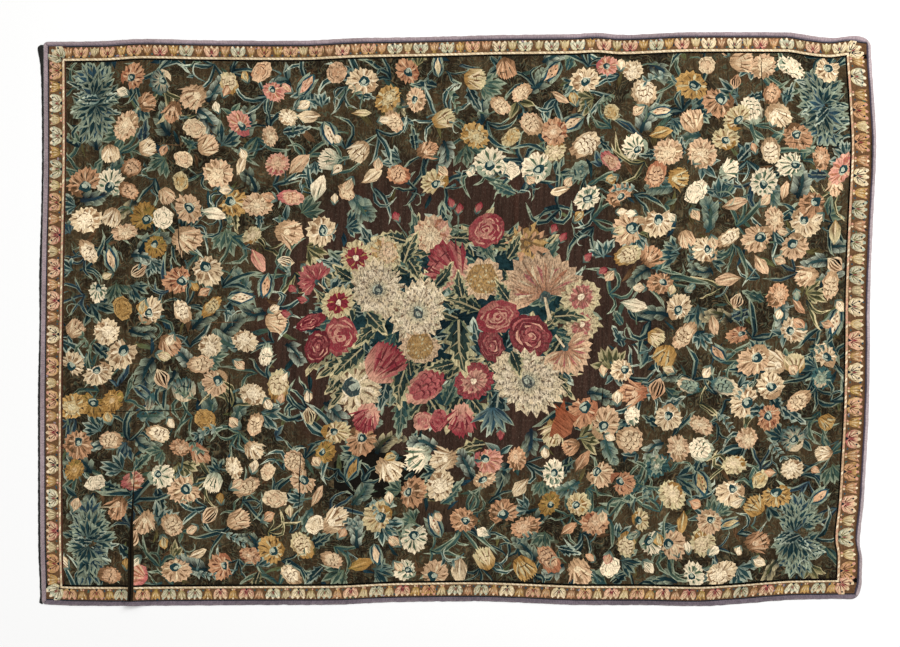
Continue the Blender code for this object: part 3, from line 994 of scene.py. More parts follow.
@dataclass
class Field:
    """The close-set flowers, leaves and stems of the field and its corner plants."""

    pen: Pen
    rng: random.Random
    flower_count: int = 312
    leaf_count: int = 430
    bud_count: int = 105
    curl_count: int = 60
    blade_count: int = 330
    tries: int = 20             # places tried for each that is kept

    # Kind, share of the flowers, size, narrowest and widest.
    KINDS = ((Flower.anemone, 28, 0.114, 0.72, 1.0), (Flower.plump, 16, 0.108, 0.66, 0.96),
             (Flower.carnation, 12, 0.104, 0.72, 1.0), (Flower.scaly, 12, 0.106, 0.62, 0.9),
             (Flower.pink, 9, 0.092, 0.85, 1.05), (Flower.tulip, 9, 0.098, 0.8, 1.05),
             (Flower.rose, 6, 0.09, 0.74, 0.98), (Flower.striped_pod, 3, 0.084, 0.75, 0.95),
             (Flower.calyx_pod, 5, 0.106, 0.85, 1.0))
    # Wools and how many flowers in a hundred wear them.
    BLOOMS = ((CREAMY, 27), (PALE, 8), (PEACHY, 21), (TAWNY, 11), (ROSY, 7), (BUTTERY, 10),
              (PINK, 3), (GOLDEN, 7), (OCHREOUS, 4), (BLUEISH, 3))
    # Kind, share of the sprays, smallest and largest size.
    LEAVES = ((Leaf.strap_bunch, 44, 0.105, 0.155), (Leaf.feathered, 16, 0.08, 0.12),
              (Leaf.ovate_group, 8, 0.06, 0.09), (Leaf.toothed_leaf, 14, 0.07, 0.11),
              (Leaf.palmate, 18, 0.065, 0.1))
    STEM_TONES = (LeafTone.SEA, LeafTone.GREEN, LeafTone.COOL)
    # Middles of the corner plants.
    CORNERS = ((-1.226, 0.755), (1.225, 0.715), (-1.235, -0.735), (1.18, -0.735))

    def open_ground(self, x: float, y: float, spare: float) -> bool:
        """True where the field is planted, clear of the posy's ground and the corner plants.

        Args:
            x: across the field.
            y: up the field.
            spare: room to keep to the field's edges.
        Returns:
            Whether something may grow there.
        """
        if math.hypot(x / (CLEARING_X + spare), y / (CLEARING_Y + spare)) < 1.0:
            return False
        if not (FIELD_X[0] + 0.6 * spare < x < FIELD_X[1] - 0.6 * spare
                and FIELD_Y[0] + 0.6 * spare < y < FIELD_Y[1] - 0.6 * spare):
            return False
        return all(math.dist((x, y), corner) > 0.105 + 0.5 * spare for corner in self.CORNERS)

    def spread(self, count: int, spare: float, away: Sequence[Flat], weight: float) -> list[Flat]:
        """Places spaced evenly but freely.

        Args:
            count: how many.
            spare: room kept to the field's edges.
            away: places of another kind to keep away from.
            weight: how much of the distance to those counts.
        Returns:
            The new places.
        """
        found = np.zeros((0, 2))
        others = np.array(away).reshape(-1, 2)
        spots: list[Flat] = []
        while len(spots) < count:
            best, best_room = None, -1.0
            for _ in range(self.tries):
                x, y = self.rng.uniform(*FIELD_X), self.rng.uniform(*FIELD_Y)
                if not self.open_ground(x, y, spare):
                    continue
                room = min(np.hypot(found[:, 0] - x, found[:, 1] - y).min(initial=9.0),
                           np.hypot(others[:, 0] - x, others[:, 1] - y).min(initial=9.0) * weight)
                if room > best_room:
                    best, best_room = (x, y), room
            if best:
                spots.append(best)
                found = np.vstack([found, best])
        return spots

    def draw(self) -> None:
        """Put down the field: blades, sprays, stems, corner plants, flowers, buds, tendrils."""
        rng = self.rng
        flowers = self.spread(self.flower_count, 0.045, (), 1.0)
        roots = self.spread(self.leaf_count, 0.005, flowers, 1.35)
        buds = self.spread(self.bud_count, 0.012, flowers + roots, 1.0)
        curls = self.spread(self.curl_count, 0.02, flowers + buds, 1.2)
        self.blades()
        for root in sorted(roots, key=lambda place: rng.random()):
            self.foliage(root, flowers)
        for flower in flowers:
            self.stem_to(flower, min(roots, key=lambda root: math.dist(root, flower)))
        for corner in self.CORNERS:
            self.corner_plant(corner)
        weights = [row[1] for row in self.KINDS]
        for flower in sorted(flowers, key=lambda place: rng.random()):
            kind, _, size, low, high = rng.choices(self.KINDS, weights)[0]
            pen = self.pen.at(*flower, rng.uniform(0, TURN), size * rng.uniform(0.68, 1.04),
                              rng.uniform(low, high), rng.uniform(0.86, 1.06))
            kind(Flower(rng, pen, self.bloom_at(flower)))
        for bud in buds:
            pen = self.pen.at(*bud, rng.uniform(0, TURN), rng.uniform(0.046, 0.066))
            Flower(rng, pen, self.bloom_at(bud)).bud()
        for spot in curls:
            kind = rng.choice((Leaf.curl, Leaf.sprig, Leaf.curl))
            tone = rng.choice(self.STEM_TONES)
            pen = self.pen.at(*spot, rng.uniform(0, TURN), rng.uniform(0.05, 0.085))
            kind(Leaf(rng, pen, tone))
        log.info("field: %d flowers, %d sprays of leaves, %d buds, %d tendrils", len(flowers),
                 len(roots), len(buds), len(curls))

    def blades(self) -> None:
        """Dim single blades behind everything else."""
        rng = self.rng
        for spot in self.spread(self.blade_count, 0.0, (), 1.0):
            root, tip = rng.choice(((DEEP, TEAL), (TEAL, SAGE), (WALNUT, OLIVE), (WALNUT, BARK),
                                    (DEEP, BLUE), (OLIVE, SAGE)))
            pen = self.pen.at(*spot, rng.uniform(0, TURN), rng.uniform(0.045, 0.08))
            pen.fill(leaf_outline(1.0, rng.uniform(0.16, 0.34), 2, 0.45, rng.uniform(-0.4, 0.4)),
                     root, tip, streak=1.0, shade=rng.uniform(0.6, 0.95))

    def bloom_at(self, spot: Flat) -> Bloom:
        """The wools of a flower there; the warmer ones gather on both sides of the posy.

        Args:
            spot: where the flower is.
        Returns:
            The wools.
        """
        warm = 1.0 + 0.8 * math.exp(-((abs(spot[0]) - 0.7) / 0.4) ** 2)
        weights = [weight * (warm if bloom in (PEACHY, ROSY, PINK) else 1.0)
                   for bloom, weight in self.BLOOMS]
        return self.rng.choices([bloom for bloom, _ in self.BLOOMS], weights)[0]

    def stem_to(self, flower: Flat, root: Flat) -> None:
        """A curved stem from a spray's root to a flower, unless it grows out of it.

        Args:
            flower: where the flower is.
            root: where the stem starts.
        """
        run = math.dist(flower, root)
        if run < 0.01:
            return
        heading = math.atan2(flower[1] - root[1], flower[0] - root[0])
        bend = self.rng.choice((-1, 1)) * self.rng.uniform(0.5, 1.8)
        pen = self.pen.at(*root, heading - bend / 2)
        tone = self.rng.choice(self.STEM_TONES)
        Leaf(self.rng, pen, tone).stem(run * (1 + bend * bend / 24), bend,
                                       self.rng.uniform(0.0045, 0.0075))

    def foliage(self, root: Flat, flowers: Sequence[Flat]) -> None:
        """One spray of leaves, turned away from the nearest flower.

        Args:
            root: where it grows.
            flowers: the places of the flowers.
        """
        rng = self.rng
        x, y = root
        near = min(flowers, key=lambda flower: math.dist(flower, root))
        turn = math.atan2(y - near[1], x - near[0]) + rng.uniform(-1.6, 1.6)
        rim = abs(x) > 0.95 or abs(y) > 0.7
        tones = [LeafTone.COOL, LeafTone.BLUE, LeafTone.SEA, LeafTone.GREEN, LeafTone.OLIVE]
        tone = rng.choices(tones, (34, 10, 28, 22, 6) if rim else (28, 6, 30, 28, 8))[0]
        kind, _, low, high = rng.choices(self.LEAVES, [row[1] for row in self.LEAVES])[0]
        size = rng.uniform(low, high)
        pen = self.pen.at(x - 0.35 * size * math.cos(turn), y - 0.35 * size * math.sin(turn),
                          turn, size, 1.0, rng.uniform(0.72, 1.08))
        kind(Leaf(rng, pen, tone))

    def corner_plant(self, corner: Flat) -> None:
        """A great round plant of cut leaves that fills a corner.

        Args:
            corner: its middle.
        """
        rng = self.rng
        tones = (LeafTone.COOL, LeafTone.SEA, LeafTone.BLUE, LeafTone.COOL)
        for i in range(26):
            turn, out = GOLDEN_TURN * i + rng.uniform(-0.4, 0.4), math.sqrt(1 - i / 27)
            kind = Leaf.toothed_leaf if i % 4 == 1 else Leaf.palmate
            size = rng.uniform(0.065, 0.09)
            pen = self.pen.at(corner[0] + (0.062 * out - 0.45 * size) * math.cos(turn),
                              corner[1] + (0.125 * out - 0.45 * size) * math.sin(turn),
                              turn + rng.uniform(-0.7, 0.7), size, 1.0, rng.uniform(0.7, 1.2))
            kind(Leaf(rng, pen, tones[i % 4]))


@dataclass(frozen=True)
class PosyRow:
    """One large flower of the posy: its kind, wools and place. `fret` is how worn it is."""

    kind: Callable[[PosyFlower], None]
    bloom: Bloom
    x: float
    y: float
    size: float
    turn: float = 0.0
    fret: float = 0.0
    squash: float = 1.0


@dataclass
class Posy:
    """The loose posy on plain ground in the middle."""

    pen: Pen
    rng: random.Random

    # Kind, wools, place, size, and then turn, wear and squash where it has them.
    FLOWERS = tuple(PosyRow(*row) for row in (
        (PosyFlower.fan, RED_PINK, -0.484, 0.15, 0.105, 2.4, 0.3),
        (PosyFlower.cabbage, CRIMSONY, -0.488, 0.002, 0.105, 0.3, 0.1, 0.6),
        (PosyFlower.plump, FAWNY, -0.086, 0.286, 0.14, 1.5, 0.6),
        (PosyFlower.plump, MUSTARDY, -0.244, 0.226, 0.13, 0.0, 0.8),
        (PosyFlower.ringed, YELLOWY, -0.338, 0.212, 0.122, 0.0, 0.2),
        (PosyFlower.peony, GREYISH, -0.264, 0.104, 0.205, 0.0, 1.0),
        (PosyFlower.ringed, YELLOWY, -0.398, 0.064, 0.118, 0.0, 0.1),
        (PosyFlower.cabbage, RED_PINK, -0.388, -0.05, 0.13, 0.0, 0.3),
        (PosyFlower.cabbage, CRIMSONY, -0.466, -0.082, 0.12, 1.4, 0.2, 0.75),
        (PosyFlower.cabbage, RED_PINK, 0.098, 0.296, 0.128, 0.4, 0.3),
        (PosyFlower.chrysanthemum, AMBERY, 0.236, 0.252, 0.165, 0.0, 0.4),
        (PosyFlower.carnation, CRIMSONY, -0.03, 0.18, 0.165, 2.4, 0.3),
        (PosyFlower.peony, GREYISH, -0.126, 0.024, 0.235, 0.0, 1.0),
        (PosyFlower.ball, MUSTARDY, 0.09, 0.132, 0.145, 0.0, 0.8),
        (PosyFlower.fan, BLUSHING, 0.292, 0.118, 0.235, 1.8, 0.7),
        (PosyFlower.ringed, RUFFED, 0.424, 0.074, 0.13, 0.0, 0.6),
        (PosyFlower.ringed, RUFFED, 0.424, -0.018, 0.12, 0.0, 0.6),
        (PosyFlower.cabbage, CRIMSONY, 0.122, -0.092, 0.11, 0.0, 0.4),
        (PosyFlower.cabbage, RED_PINK, 0.142, 0.004, 0.15, 0.9, 0.3, 0.9),
        (PosyFlower.cabbage, CRIMSONY, 0.254, -0.056, 0.155, 0.0, 0.3),
        (PosyFlower.anemone, STRAWY, -0.328, -0.222, 0.185, 0.0, 0.6),
        (PosyFlower.pink, CRIMSONY, -0.236, -0.146, 0.155, 0.9, 0.2),
        (PosyFlower.ball, MUSTARDY, -0.12, -0.094, 0.126, 0.0, 0.8),
        (PosyFlower.fan, BLUSHING, 0.388, -0.116, 0.15, -0.9, 0.5),
        (PosyFlower.peony, GREYISH, 0.248, -0.212, 0.255, 0.0, 1.0),
        (PosyFlower.scaly, CRIMSONY, -0.1, -0.228, 0.165, 0.6, 0.3, 0.68),
        (PosyFlower.ringed, CRIMSONY, 0.066, -0.212, 0.135, 0.0, 0.5),
        (PosyFlower.carnation, CRIMSONY, -0.292, -0.328, 0.105, 4.2, 0.2),
        (PosyFlower.rose, RED_PINK, -0.104, -0.344, 0.072, 0.0, 0.2),
        (PosyFlower.rose, CRIMSONY, -0.05, -0.342, 0.084, 1.6, 0.2, 0.8),
        (PosyFlower.carnation, CRIMSONY, 0.028, -0.344, 0.11, 4.6, 0.2),
    ))
    # Place and turn of each bud, and the same with a size for the leaves between the flowers.
    BUDS = ((-0.538, 0.102, 2.4), (-0.5, 0.074, 2.9), (-0.553, 0.028, 3.0), (0.0, 0.352, 1.4),
            (-0.018, 0.372, 1.9), (0.062, 0.356, 1.2), (0.478, 0.15, 0.6), (0.16, -0.372, 4.8),
            (-0.2, 0.33, 2.0), (0.345, 0.258, 0.9), (0.43, 0.19, 0.9), (0.318, 0.285, 1.2))
    BETWEEN = ((0.01, 0.0, 4.6, 0.2), (0.33, 0.01, 0.2, 0.12), (-0.31, -0.09, 3.9, 0.15),
               (0.17, 0.2, 0.9, 0.1), (-0.17, -0.17, 4.3, 0.13), (0.02, 0.07, 1.9, 0.1),
               (-0.18, 0.19, 1.3, 0.12), (-0.35, 0.14, 2.6, 0.09), (0.19, -0.11, 5.2, 0.1),
               (0.0, -0.15, 3.4, 0.1), (-0.07, 0.11, 0.7, 0.1), (0.18, 0.06, 2.2, 0.09),
               (-0.262, -0.02, 3.6, 0.11), (-0.3, 0.03, 5.4, 0.11))

    def draw(self) -> None:
        """Put down the posy: leaves round its rim and between, then the flowers."""
        rng = self.rng
        tones = (LeafTone.WORN, LeafTone.GREEN, LeafTone.WORN, LeafTone.SEA, LeafTone.COOL)
        self.patch()
        bed = self.pen.at(-0.02, 0.0, 0.0, 1.0, 0.68)
        bed.fill(ragged(rng, 0.43, 34, 0.1), DEEP, TEAL, end=(0.5, 0.1), polar=True,
                 streak=1.0, shade=0.8)
        for i in range(52):
            turn = TURN * i / 52 + rng.uniform(-0.06, 0.06)
            out = rng.uniform(0.86, 1.04)
            pen = self.pen.at(0.385 * out * math.cos(turn) - 0.02, 0.262 * out * math.sin(turn),
                              turn + rng.uniform(-0.6, 0.6), rng.uniform(0.105, 0.175), 1.0,
                              rng.uniform(0.75, 1.05))
            kind = Leaf.strap_bunch if i % 6 == 5 else Leaf.toothed_leaf
            kind(Leaf(rng, pen, tones[i % 5]))
        for i in range(130):
            turn, out = i * GOLDEN_TURN, math.sqrt((i + 0.5) / 130)
            pen = self.pen.at(0.44 * out * math.cos(turn) - 0.02, 0.3 * out * math.sin(turn),
                              rng.uniform(0, TURN), rng.uniform(0.08, 0.14), 1.0,
                              rng.uniform(0.7, 1.1))
            Leaf(rng, pen, tones[i % 4]).toothed_leaf()
        for x, y, turn in self.BUDS:
            Leaf(rng, self.pen.at(x * 0.8, y * 0.8, turn), LeafTone.GREEN).stem(0.08, 0.4, 0.004)
            Flower(rng, self.pen.at(x, y, turn, 0.048, 1.0, 0.85), CRIMSONY).bud()
        for flower in self.FLOWERS:
            pen = self.pen.at(flower.x, flower.y, flower.turn, flower.size, flower.squash,
                              rng.uniform(0.86, 0.98), flower.fret)
            flower.kind(PosyFlower(rng, pen, flower.bloom))
        for x, y, turn, size in self.BETWEEN:
            Leaf(rng, self.pen.at(x, y, turn, size), LeafTone.WORN).toothed_leaf(0.6)
        blue = self.pen.at(0.136, -0.3, 4.7, 0.095)
        for i in range(5):
            Leaf(rng, blue.at(0, 0, (i - 2) * 0.42), LeafTone.BLUE).ovate(0.3)
        log.info("posy: %d flowers", len(self.FLOWERS))

    def patch(self) -> None:
        """The rust-coloured repair at the posy's lower right."""
        rim = [(0.326, -0.398), (0.334, -0.35), (0.346, -0.322), (0.338, -0.284), (0.358, -0.3),
               (0.372, -0.262), (0.38, -0.302), (0.41, -0.322), (0.43, -0.318), (0.404, -0.346),
               (0.398, -0.38), (0.372, -0.398), (0.352, -0.382)]
        self.pen.fill(rim, RUST, CORAL, start=(0.3, -0.3), end=(0.42, -0.4), streak=0.9)


@dataclass
class Border:
    """The narrow border of palmettes and pots, and the twisted guard line inside it."""

    pen: Pen
    rng: random.Random
    pitch_long: float = 0.0898
    pitch_side: float = 0.11
    twist: float = 0.015
    fleck_pitch: float = 0.018

    # The body, pale darts, tips and lines of each colouring.
    PALMETTES = ((STRAW, CREAM, IVORY, NAVY),
                 (ROSE, PEACH, CREAM, MADDER),
                 (MIST, CREAM, ICE, OLIVE),
                 (SALMON, GOLD, BLUSH, FOX),
                 (STRAW, ICE, IVORY, BARK),
                 (GOLD, PEACH, BLUSH, FOX),
                 (BLUSH, PEACH, CREAM, MADDER))

    def draw(self) -> None:
        """Put down the ground of the border, its motifs and the guard line."""
        for side in Side:
            self.ground(side)
        for side in Side:
            self.motifs(side)
        for turn in range(4):
            self.corner(turn)
        for side in Side:
            self.guard(side)
        log.info("border: motifs every %.0f and %.0f mm", self.pitch_long * 1e3,
                 self.pitch_side * 1e3)

    def strip(self, side: Side, inner: float, outer: float, root: Wool, shade: float = 1.0,
              mitred: bool = False) -> None:
        """A plain strip along a side, `inner` to `outer` in from the weaving's edge.

        Args:
            side: the side of the weaving.
            inner: depth of its inner edge.
            outer: depth of its outer edge.
            root: its wool.
            shade: lighter above 1, darker below.
            mitred: whether it stops at the corners' slanting seams.
        """
        pen = self.pen.at(0, 0, side.turn)
        ends = []
        for depth in (inner, outer):
            before, after = (depth / side.band * beside.band if mitred else 0.0
                             for beside in side.beside)
            ends.append((-side.run / 2 + before, side.run / 2 - after))
        (a, b), (c, d) = ends
        pen.fill([(side.reach - inner, a), (side.reach - outer, c), (side.reach - outer, d),
                  (side.reach - inner, b)], root, streak=0.3, start=(0, 0), end=(0, 1),
                 shade=shade)

    def ground(self, side: Side) -> None:
        """The border's brown ground, with a navy line beside the tape.

        Args:
            side: the side of the weaving.
        """
        self.strip(side, side.depth, 0.0, FOX if side is Side.LEFT else NIGHT, 0.7)
        self.strip(side, side.band, 0.0, BARK, 0.8)
        self.strip(side, max(0.0035, side.edge), 0.0, NAVY, 1.0)
        if side is Side.RIGHT:
            self.strip(side, side.edge, 0.0, BARK, 0.5)
        # Flecks of blue, grey and fawn on the ground.
        flecks = round(side.run / self.fleck_pitch)
        for i in range(flecks):
            depth = self.rng.uniform(side.edge + 0.003, side.band - 0.004)
            along = (i + self.rng.uniform(-0.4, 0.4)) / flecks * side.run - side.run / 2
            spot = self.pen.at(0, 0, side.turn).at(side.reach - depth, along,
                                                   self.rng.uniform(0, TURN), 0.0055, 0.6)
            self.dot(spot, self.rng.choice((NAVY, BLUE, LILAC, BARK, SAGE, PEACH)))

    def motifs(self, side: Side) -> None:
        """Palmettes and pots in turn along a side, facing outward.

        Args:
            side: the side of the weaving.
        """
        pitch = self.pitch_long if side.long else self.pitch_side
        before, after = (beside.band + 0.006 for beside in side.beside)
        clear = side.run - before - after
        count = round(clear / pitch)
        pitch = clear / count
        tall = side.band - side.edge
        for i in range(count):
            along = -side.run / 2 + before + pitch * (i + 0.5)
            base = self.pen.at(0, 0, side.turn).at(side.reach - side.band - 0.001,
                                                    along + self.rng.uniform(-0.002, 0.002))
            wools = self.PALMETTES[self.rng.randrange(7)]
            self.palmette(base.at(0, -0.18 * pitch, 0, tall, 0.58 * pitch / tall / 1.38, 0.94),
                          wools)
            self.pot(base.at(0, 0.315 * pitch, 0, tall, 0.34 * pitch / tall / 0.84, 0.94))
            for step in (-0.49, 0.13):
                self.dot(base.at(0.8 * tall, step * pitch, 0, 0.003),
                         self.rng.choice((LILAC, BLUE, SEA)))
                self.dot(base.at(0.16 * tall, step * pitch, 0, 0.0034),
                         self.rng.choice((SEA, BLUE, BARK)))

    def palmette(self, pen: Pen, wools: tuple[Wool, Wool, Wool, Wool]) -> None:
        """A palmette one unit tall: two lobes with curled ends and a middle lobe.

        Args:
            pen: at its foot, pointing to its top.
            wools: its body, its pale darts, its tips and its lines.
        """
        body, pale, tip, line = wools
        rng = self.rng
        half = ((0.0, 0.12), (0.02, 0.3), (0.14, 0.5), (0.38, 0.63), (0.64, 0.69), (0.86, 0.62),
                (0.95, 0.46), (0.84, 0.3), (0.72, 0.22), (0.86, 0.13), (0.98, 0.0))
        rim = [(x * rng.uniform(0.96, 1.03), y * rng.uniform(0.95, 1.05)) for x, y in half]
        rim += [(x * rng.uniform(0.96, 1.03), -y * rng.uniform(0.95, 1.05))
                for x, y in half[-2::-1]]
        pen.fill([(0.16, 0.0)] + rim, body, pale, start=(0.0, 0.0), end=(0.9, 0.0), streak=1.0)
        for side in (-1, 1):
            for turn, reach in ((0.2, 0.7), (0.62, 0.74), (1.05, 0.52)):
                dart = pen.at(0.14, side * 0.05, side * turn)
                dart.fill([(0.1, -0.025), (0.5 * reach, -0.035), (reach, 0.0),
                           (0.5 * reach, 0.035), (0.1, 0.025)], line, streak=0.2, shade=0.9)
                dart = pen.at(0.14, side * 0.09, side * (turn + 0.19))
                dart.fill(leaf_outline(reach * 0.95, 0.11, 2, 0.6), pale, tip, end=(reach, 0),
                          streak=0.5, shade=1.05)
            self.dot(pen.at(0.72, side * 0.4, 0, 0.075), NAVY)
            self.dot(pen.at(0.85, side * 0.5, 0, 0.125), tip)
            self.dot(pen.at(0.8, side * 0.22, 0, 0.045), FOX)
        self.dot(pen.at(0.88, 0.0, 0, 0.115), tip)
        pen.fill([(-0.02, -0.16), (-0.02, 0.16), (0.24, 0.0)], NAVY, streak=0.2, shade=0.8)
        pen.at(0.2, 0).fill(leaf_outline(0.45, 0.12, 1, 0.5), CRIMSON, line, streak=0.1)

    def pot(self, pen: Pen) -> None:
        """A little pot one unit tall that opens in three points.

        Args:
            pen: at its foot, pointing to its mouth.
        """
        rng = self.rng
        wool = rng.choice((OCHRE, MUSTARD, GOLD, BARK))
        pale = rng.choice((GOLD, STRAW, SALMON))
        pen.fill([(0.0, -0.2), (0.16, -0.09), (0.3, -0.28), (0.62, -0.4), (0.96, -0.42),
                  (0.8, -0.2), (1.0, 0.0), (0.8, 0.2), (0.96, 0.42), (0.62, 0.4),
                  (0.3, 0.28), (0.16, 0.09), (0.0, 0.2)], wool, pale, end=(0.9, 0), streak=1.0)
        for side in (-1, 0, 1):
            ray = pen.at(0.22, side * 0.05, side * 0.42)
            ray.fill(leaf_outline(0.56, 0.13, 2, 0.6), pale, CREAM, end=(0.6, 0), streak=0.5)
            if side:
                ray = pen.at(0.24, side * 0.03, side * 0.2)
                ray.fill([(0.05, -0.02), (0.5, 0.0), (0.05, 0.02)], FOX, streak=0.1)
        self.dot(pen.at(0.88, 0, 0, 0.085), IVORY)
        for side in (-1, 1):
            self.dot(pen.at(0.84, side * 0.3, 0, 0.075), BLUSH)
            self.dot(pen.at(0.08, side * 0.1, 0, 0.09), BLUSH if side > 0 else CREAM)

    def dot(self, pen: Pen, wool: Wool) -> None:
        """A small round spot of one unit's radius."""
        pen.fill([(math.cos(TURN * i / 6), math.sin(TURN * i / 6)) for i in range(6)], wool,
                 streak=0.1)

    def corner(self, turn: int) -> None:
        """A palmette set across a corner of the border.

        Args:
            turn: which corner, from 0 for the upper right, anticlockwise.
        """
        upright, level = ((Side.RIGHT, Side.TOP), (Side.LEFT, Side.TOP), (Side.LEFT, Side.BOTTOM),
                          (Side.RIGHT, Side.BOTTOM))[turn]
        sx, sy = (1 if upright is Side.RIGHT else -1), (1 if level is Side.TOP else -1)
        pen = self.pen.at(sx * (WOVEN_WIDE / 2 - upright.band - 0.004),
                          sy * (WOVEN_TALL / 2 - level.band - 0.004),
                          math.atan2(sy * level.band, sx * upright.band), 0.052, 0.85)
        self.palmette(pen, self.PALMETTES[2 * turn % 7])

    def guard(self, side: Side) -> None:
        """The twisted line: slanting strokes of pale and rosy wool on a fawn strip.

        Args:
            side: the side of the weaving.
        """
        inner = side.band + side.guard
        self.strip(side, inner, side.band, PEACH if side is Side.RIGHT else CREAM, 0.8, True)
        self.strip(side, side.band + 0.0018, side.band, BARK, 0.8, True)
        before, after = (beside.band + 0.002 for beside in side.beside)
        clear = side.run - before - after
        count = int(clear / self.twist)
        step = clear / count
        low, high = side.reach - inner + 0.0008, side.reach - side.band - 0.0026
        pen = self.pen.at(0, 0, side.turn)
        tones = ((IVORY, CREAM, IVORY) if side.long else (BLUSH, PEACH, IVORY))
        for i in range(count):
            at = -side.run / 2 + before + step * i
            wide = step * self.rng.uniform(0.46, 0.66)
            pen.fill([(low, at), (high, at + 0.4 * step), (high, at + 0.4 * step + wide),
                      (low, at + wide)], self.rng.choice(tones), streak=0.3,
                     shade=self.rng.uniform(0.92, 1.06))


@dataclass(frozen=True)
class Seam:
    """A repair seam or slit along a line, pale or dark."""

    x0: float
    y0: float
    x1: float
    y1: float
    wide: float
    wool: Wool

    def draw(self, pen: Pen) -> None:
        """Put it down, pointed at both ends.

        Args:
            pen: in the middle of the weaving.
        """
        path = [(self.x0 + (self.x1 - self.x0) * i / 4, self.y0 + (self.y1 - self.y0) * i / 4)
                for i in range(5)]
        pen.fill(ribbon_outline(path, (0.0, self.wide, self.wide, self.wide, 0.0)), self.wool,
                 streak=0.0, shade=0.8)


SEAMS = (
    Seam(-0.948, 0.373, -0.928, 0.18, 0.003, NIGHT),
    Seam(-0.965, 0.152, -0.948, -0.006, 0.0028, NIGHT),
    Seam(-0.759, -0.16, -0.757, -0.412, 0.0034, NIGHT),
    Seam(-0.511, -0.412, -0.51, -0.646, 0.0032, NIGHT),
    Seam(-0.488, -0.148, -0.486, -0.29, 0.0026, NIGHT),
    Seam(-0.328, -0.532, -0.326, -0.676, 0.003, NIGHT),
    Seam(0.501, -0.21, 0.5, -0.318, 0.0034, NIGHT),
    Seam(0.955, -0.748, 0.956, -0.822, 0.003, NIGHT),
    Seam(-1.02, 0.599, -0.93, 0.598, 0.0026, BARK),
    Seam(-0.85, 0.0, -0.724, 0.001, 0.0026, BARK),
    Seam(-1.246, -0.298, -0.765, -0.296, 0.0026, NIGHT),
    Seam(-1.21, -0.62, -1.124, -0.619, 0.0026, CREAM),
    Seam(1.026, 0.91, 1.026, 0.586, 0.0026, NIGHT),
    Seam(1.026, 0.586, 1.33, 0.585, 0.0026, NIGHT),
    Seam(1.052, -0.315, 1.106, -0.314, 0.0026, CREAM),
)

# Rims of the two dark worn places below the posy.
WORN_LEFT = ((-0.4, -0.47), (-0.33, -0.44), (-0.26, -0.425), (-0.19, -0.45), (-0.13, -0.47),
             (-0.08, -0.5), (-0.072, -0.596), (-0.15, -0.598), (-0.25, -0.594), (-0.33, -0.596),
             (-0.39, -0.56))
WORN_RIGHT = ((-0.11, -0.602), (0.0, -0.6), (0.095, -0.602), (0.085, -0.66), (0.1, -0.712),
              (0.0, -0.716), (-0.105, -0.712), (-0.12, -0.65))
# How far drawn edges stray: in the worn places, the field and the border.
WORN_SWAY, FIELD_SWAY, BORDER_SWAY = 0.003, 0.0016, 0.0004
# Painted shadow along the foot of the long pleat, in the shade of its left slope: width at the rim
# and wool, the wider first.
PLEAT_PAINTED_SHADOW = ((0.038, UMBER), (0.021, NIGHT))
FOOT_STEPS = 14


def draw_weaving() -> Drawing:
    """Draw the whole weaving in the flat.

    Returns:
        Its shapes, the first of which is the ground of the field.
    """
    drawing = Drawing()
    pen = Pen(drawing)
    x, y = WOVEN_WIDE / 2, WOVEN_TALL / 2
    pen.fill([(-x, -y), (x, -y), (x, y), (-x, y)], UMBER, streak=0.0)
    drawing.sway = WORN_SWAY
    pen.fill(WORN_LEFT, NIGHT, streak=0.4, shade=1.4)
    pen.fill(WORN_RIGHT, PLUM, WALNUT, start=(0, -0.72), end=(0, -0.5), streak=0.8)
    drawing.sway = FIELD_SWAY
    Field(pen, random.Random(1703)).draw()
    Posy(pen, random.Random(29)).draw()
    for seam in SEAMS:
        seam.draw(pen)
    drawing.sway = BORDER_SWAY
    Border(pen, random.Random(11)).draw()
    # Painted shadow: dark bands of wool along the foot of the long pleat.
    foot = [(-1.09 + 0.0013 * i, -0.937 + 0.033 * i) for i in range(FOOT_STEPS + 1)]
    for wide, wool in PLEAT_PAINTED_SHADOW:
        taper = [wide * min(1.0, (FOOT_STEPS - i) / 9) for i in range(FOOT_STEPS + 1)]
        pen.fill(ribbon_outline(foot, taper), wool, streak=0.2, shade=0.8)
    return drawing


# ---- The outline and the folds ----

WEAVE_THICK = 0.0022
GALLOON_THICK = 0.0015
DARK_STRIP_THICK = 0.001
GALLOON_LONG = 0.0155
GALLOON_SIDE = 0.015
SEAM_GAP = 0.0003
MITRE_GAP = 0.0003
CLEAR = 0.00005             # least gap above what a piece lies on

BOTTOM_LEFT = (-1.405, -0.966, 0.014)       # x, y and radius of the rounding
BOTTOM_RIGHT = (1.359, -0.947, 0.022)
TOP_RIGHT = (1.401, 0.951, 0.03)
TOP_LEFT = (-1.399, 0.938, 0.012)

# How far each edge stands out from the straight line between its corners: place, amount.
TOP_BULGES = ((0.0, 0.0), (0.18, 0.001), (0.325, 0.008), (0.56, 0.003), (0.86, 0.0),
              (1.06, 0.008), (1.3, 0.011), (1.54, 0.016), (1.79, 0.018), (1.87, 0.022),
              (1.96, 0.015), (2.2, 0.023), (2.52, 0.021), (2.6, 0.008), (2.675, 0.001),
              (2.74, 0.008), (2.8, 0.0))
BOTTOM_BULGES = ((0.0, 0.0), (0.1, 0.005), (0.29, 0.007), (0.7, 0.007), (0.97, 0.008),
                 (1.21, 0.0), (1.45, -0.001), (1.68, 0.008), (1.84, 0.015), (2.02, 0.016),
                 (2.22, 0.021), (2.35, 0.015), (2.44, 0.008), (2.56, 0.001), (2.765, 0.0))
LEFT_BULGES = ((0.0, 0.0), (0.18, 0.005), (0.36, 0.007), (0.69, 0.008), (0.93, 0.006),
               (1.2, 0.003), (1.54, -0.002), (1.904, 0.0))
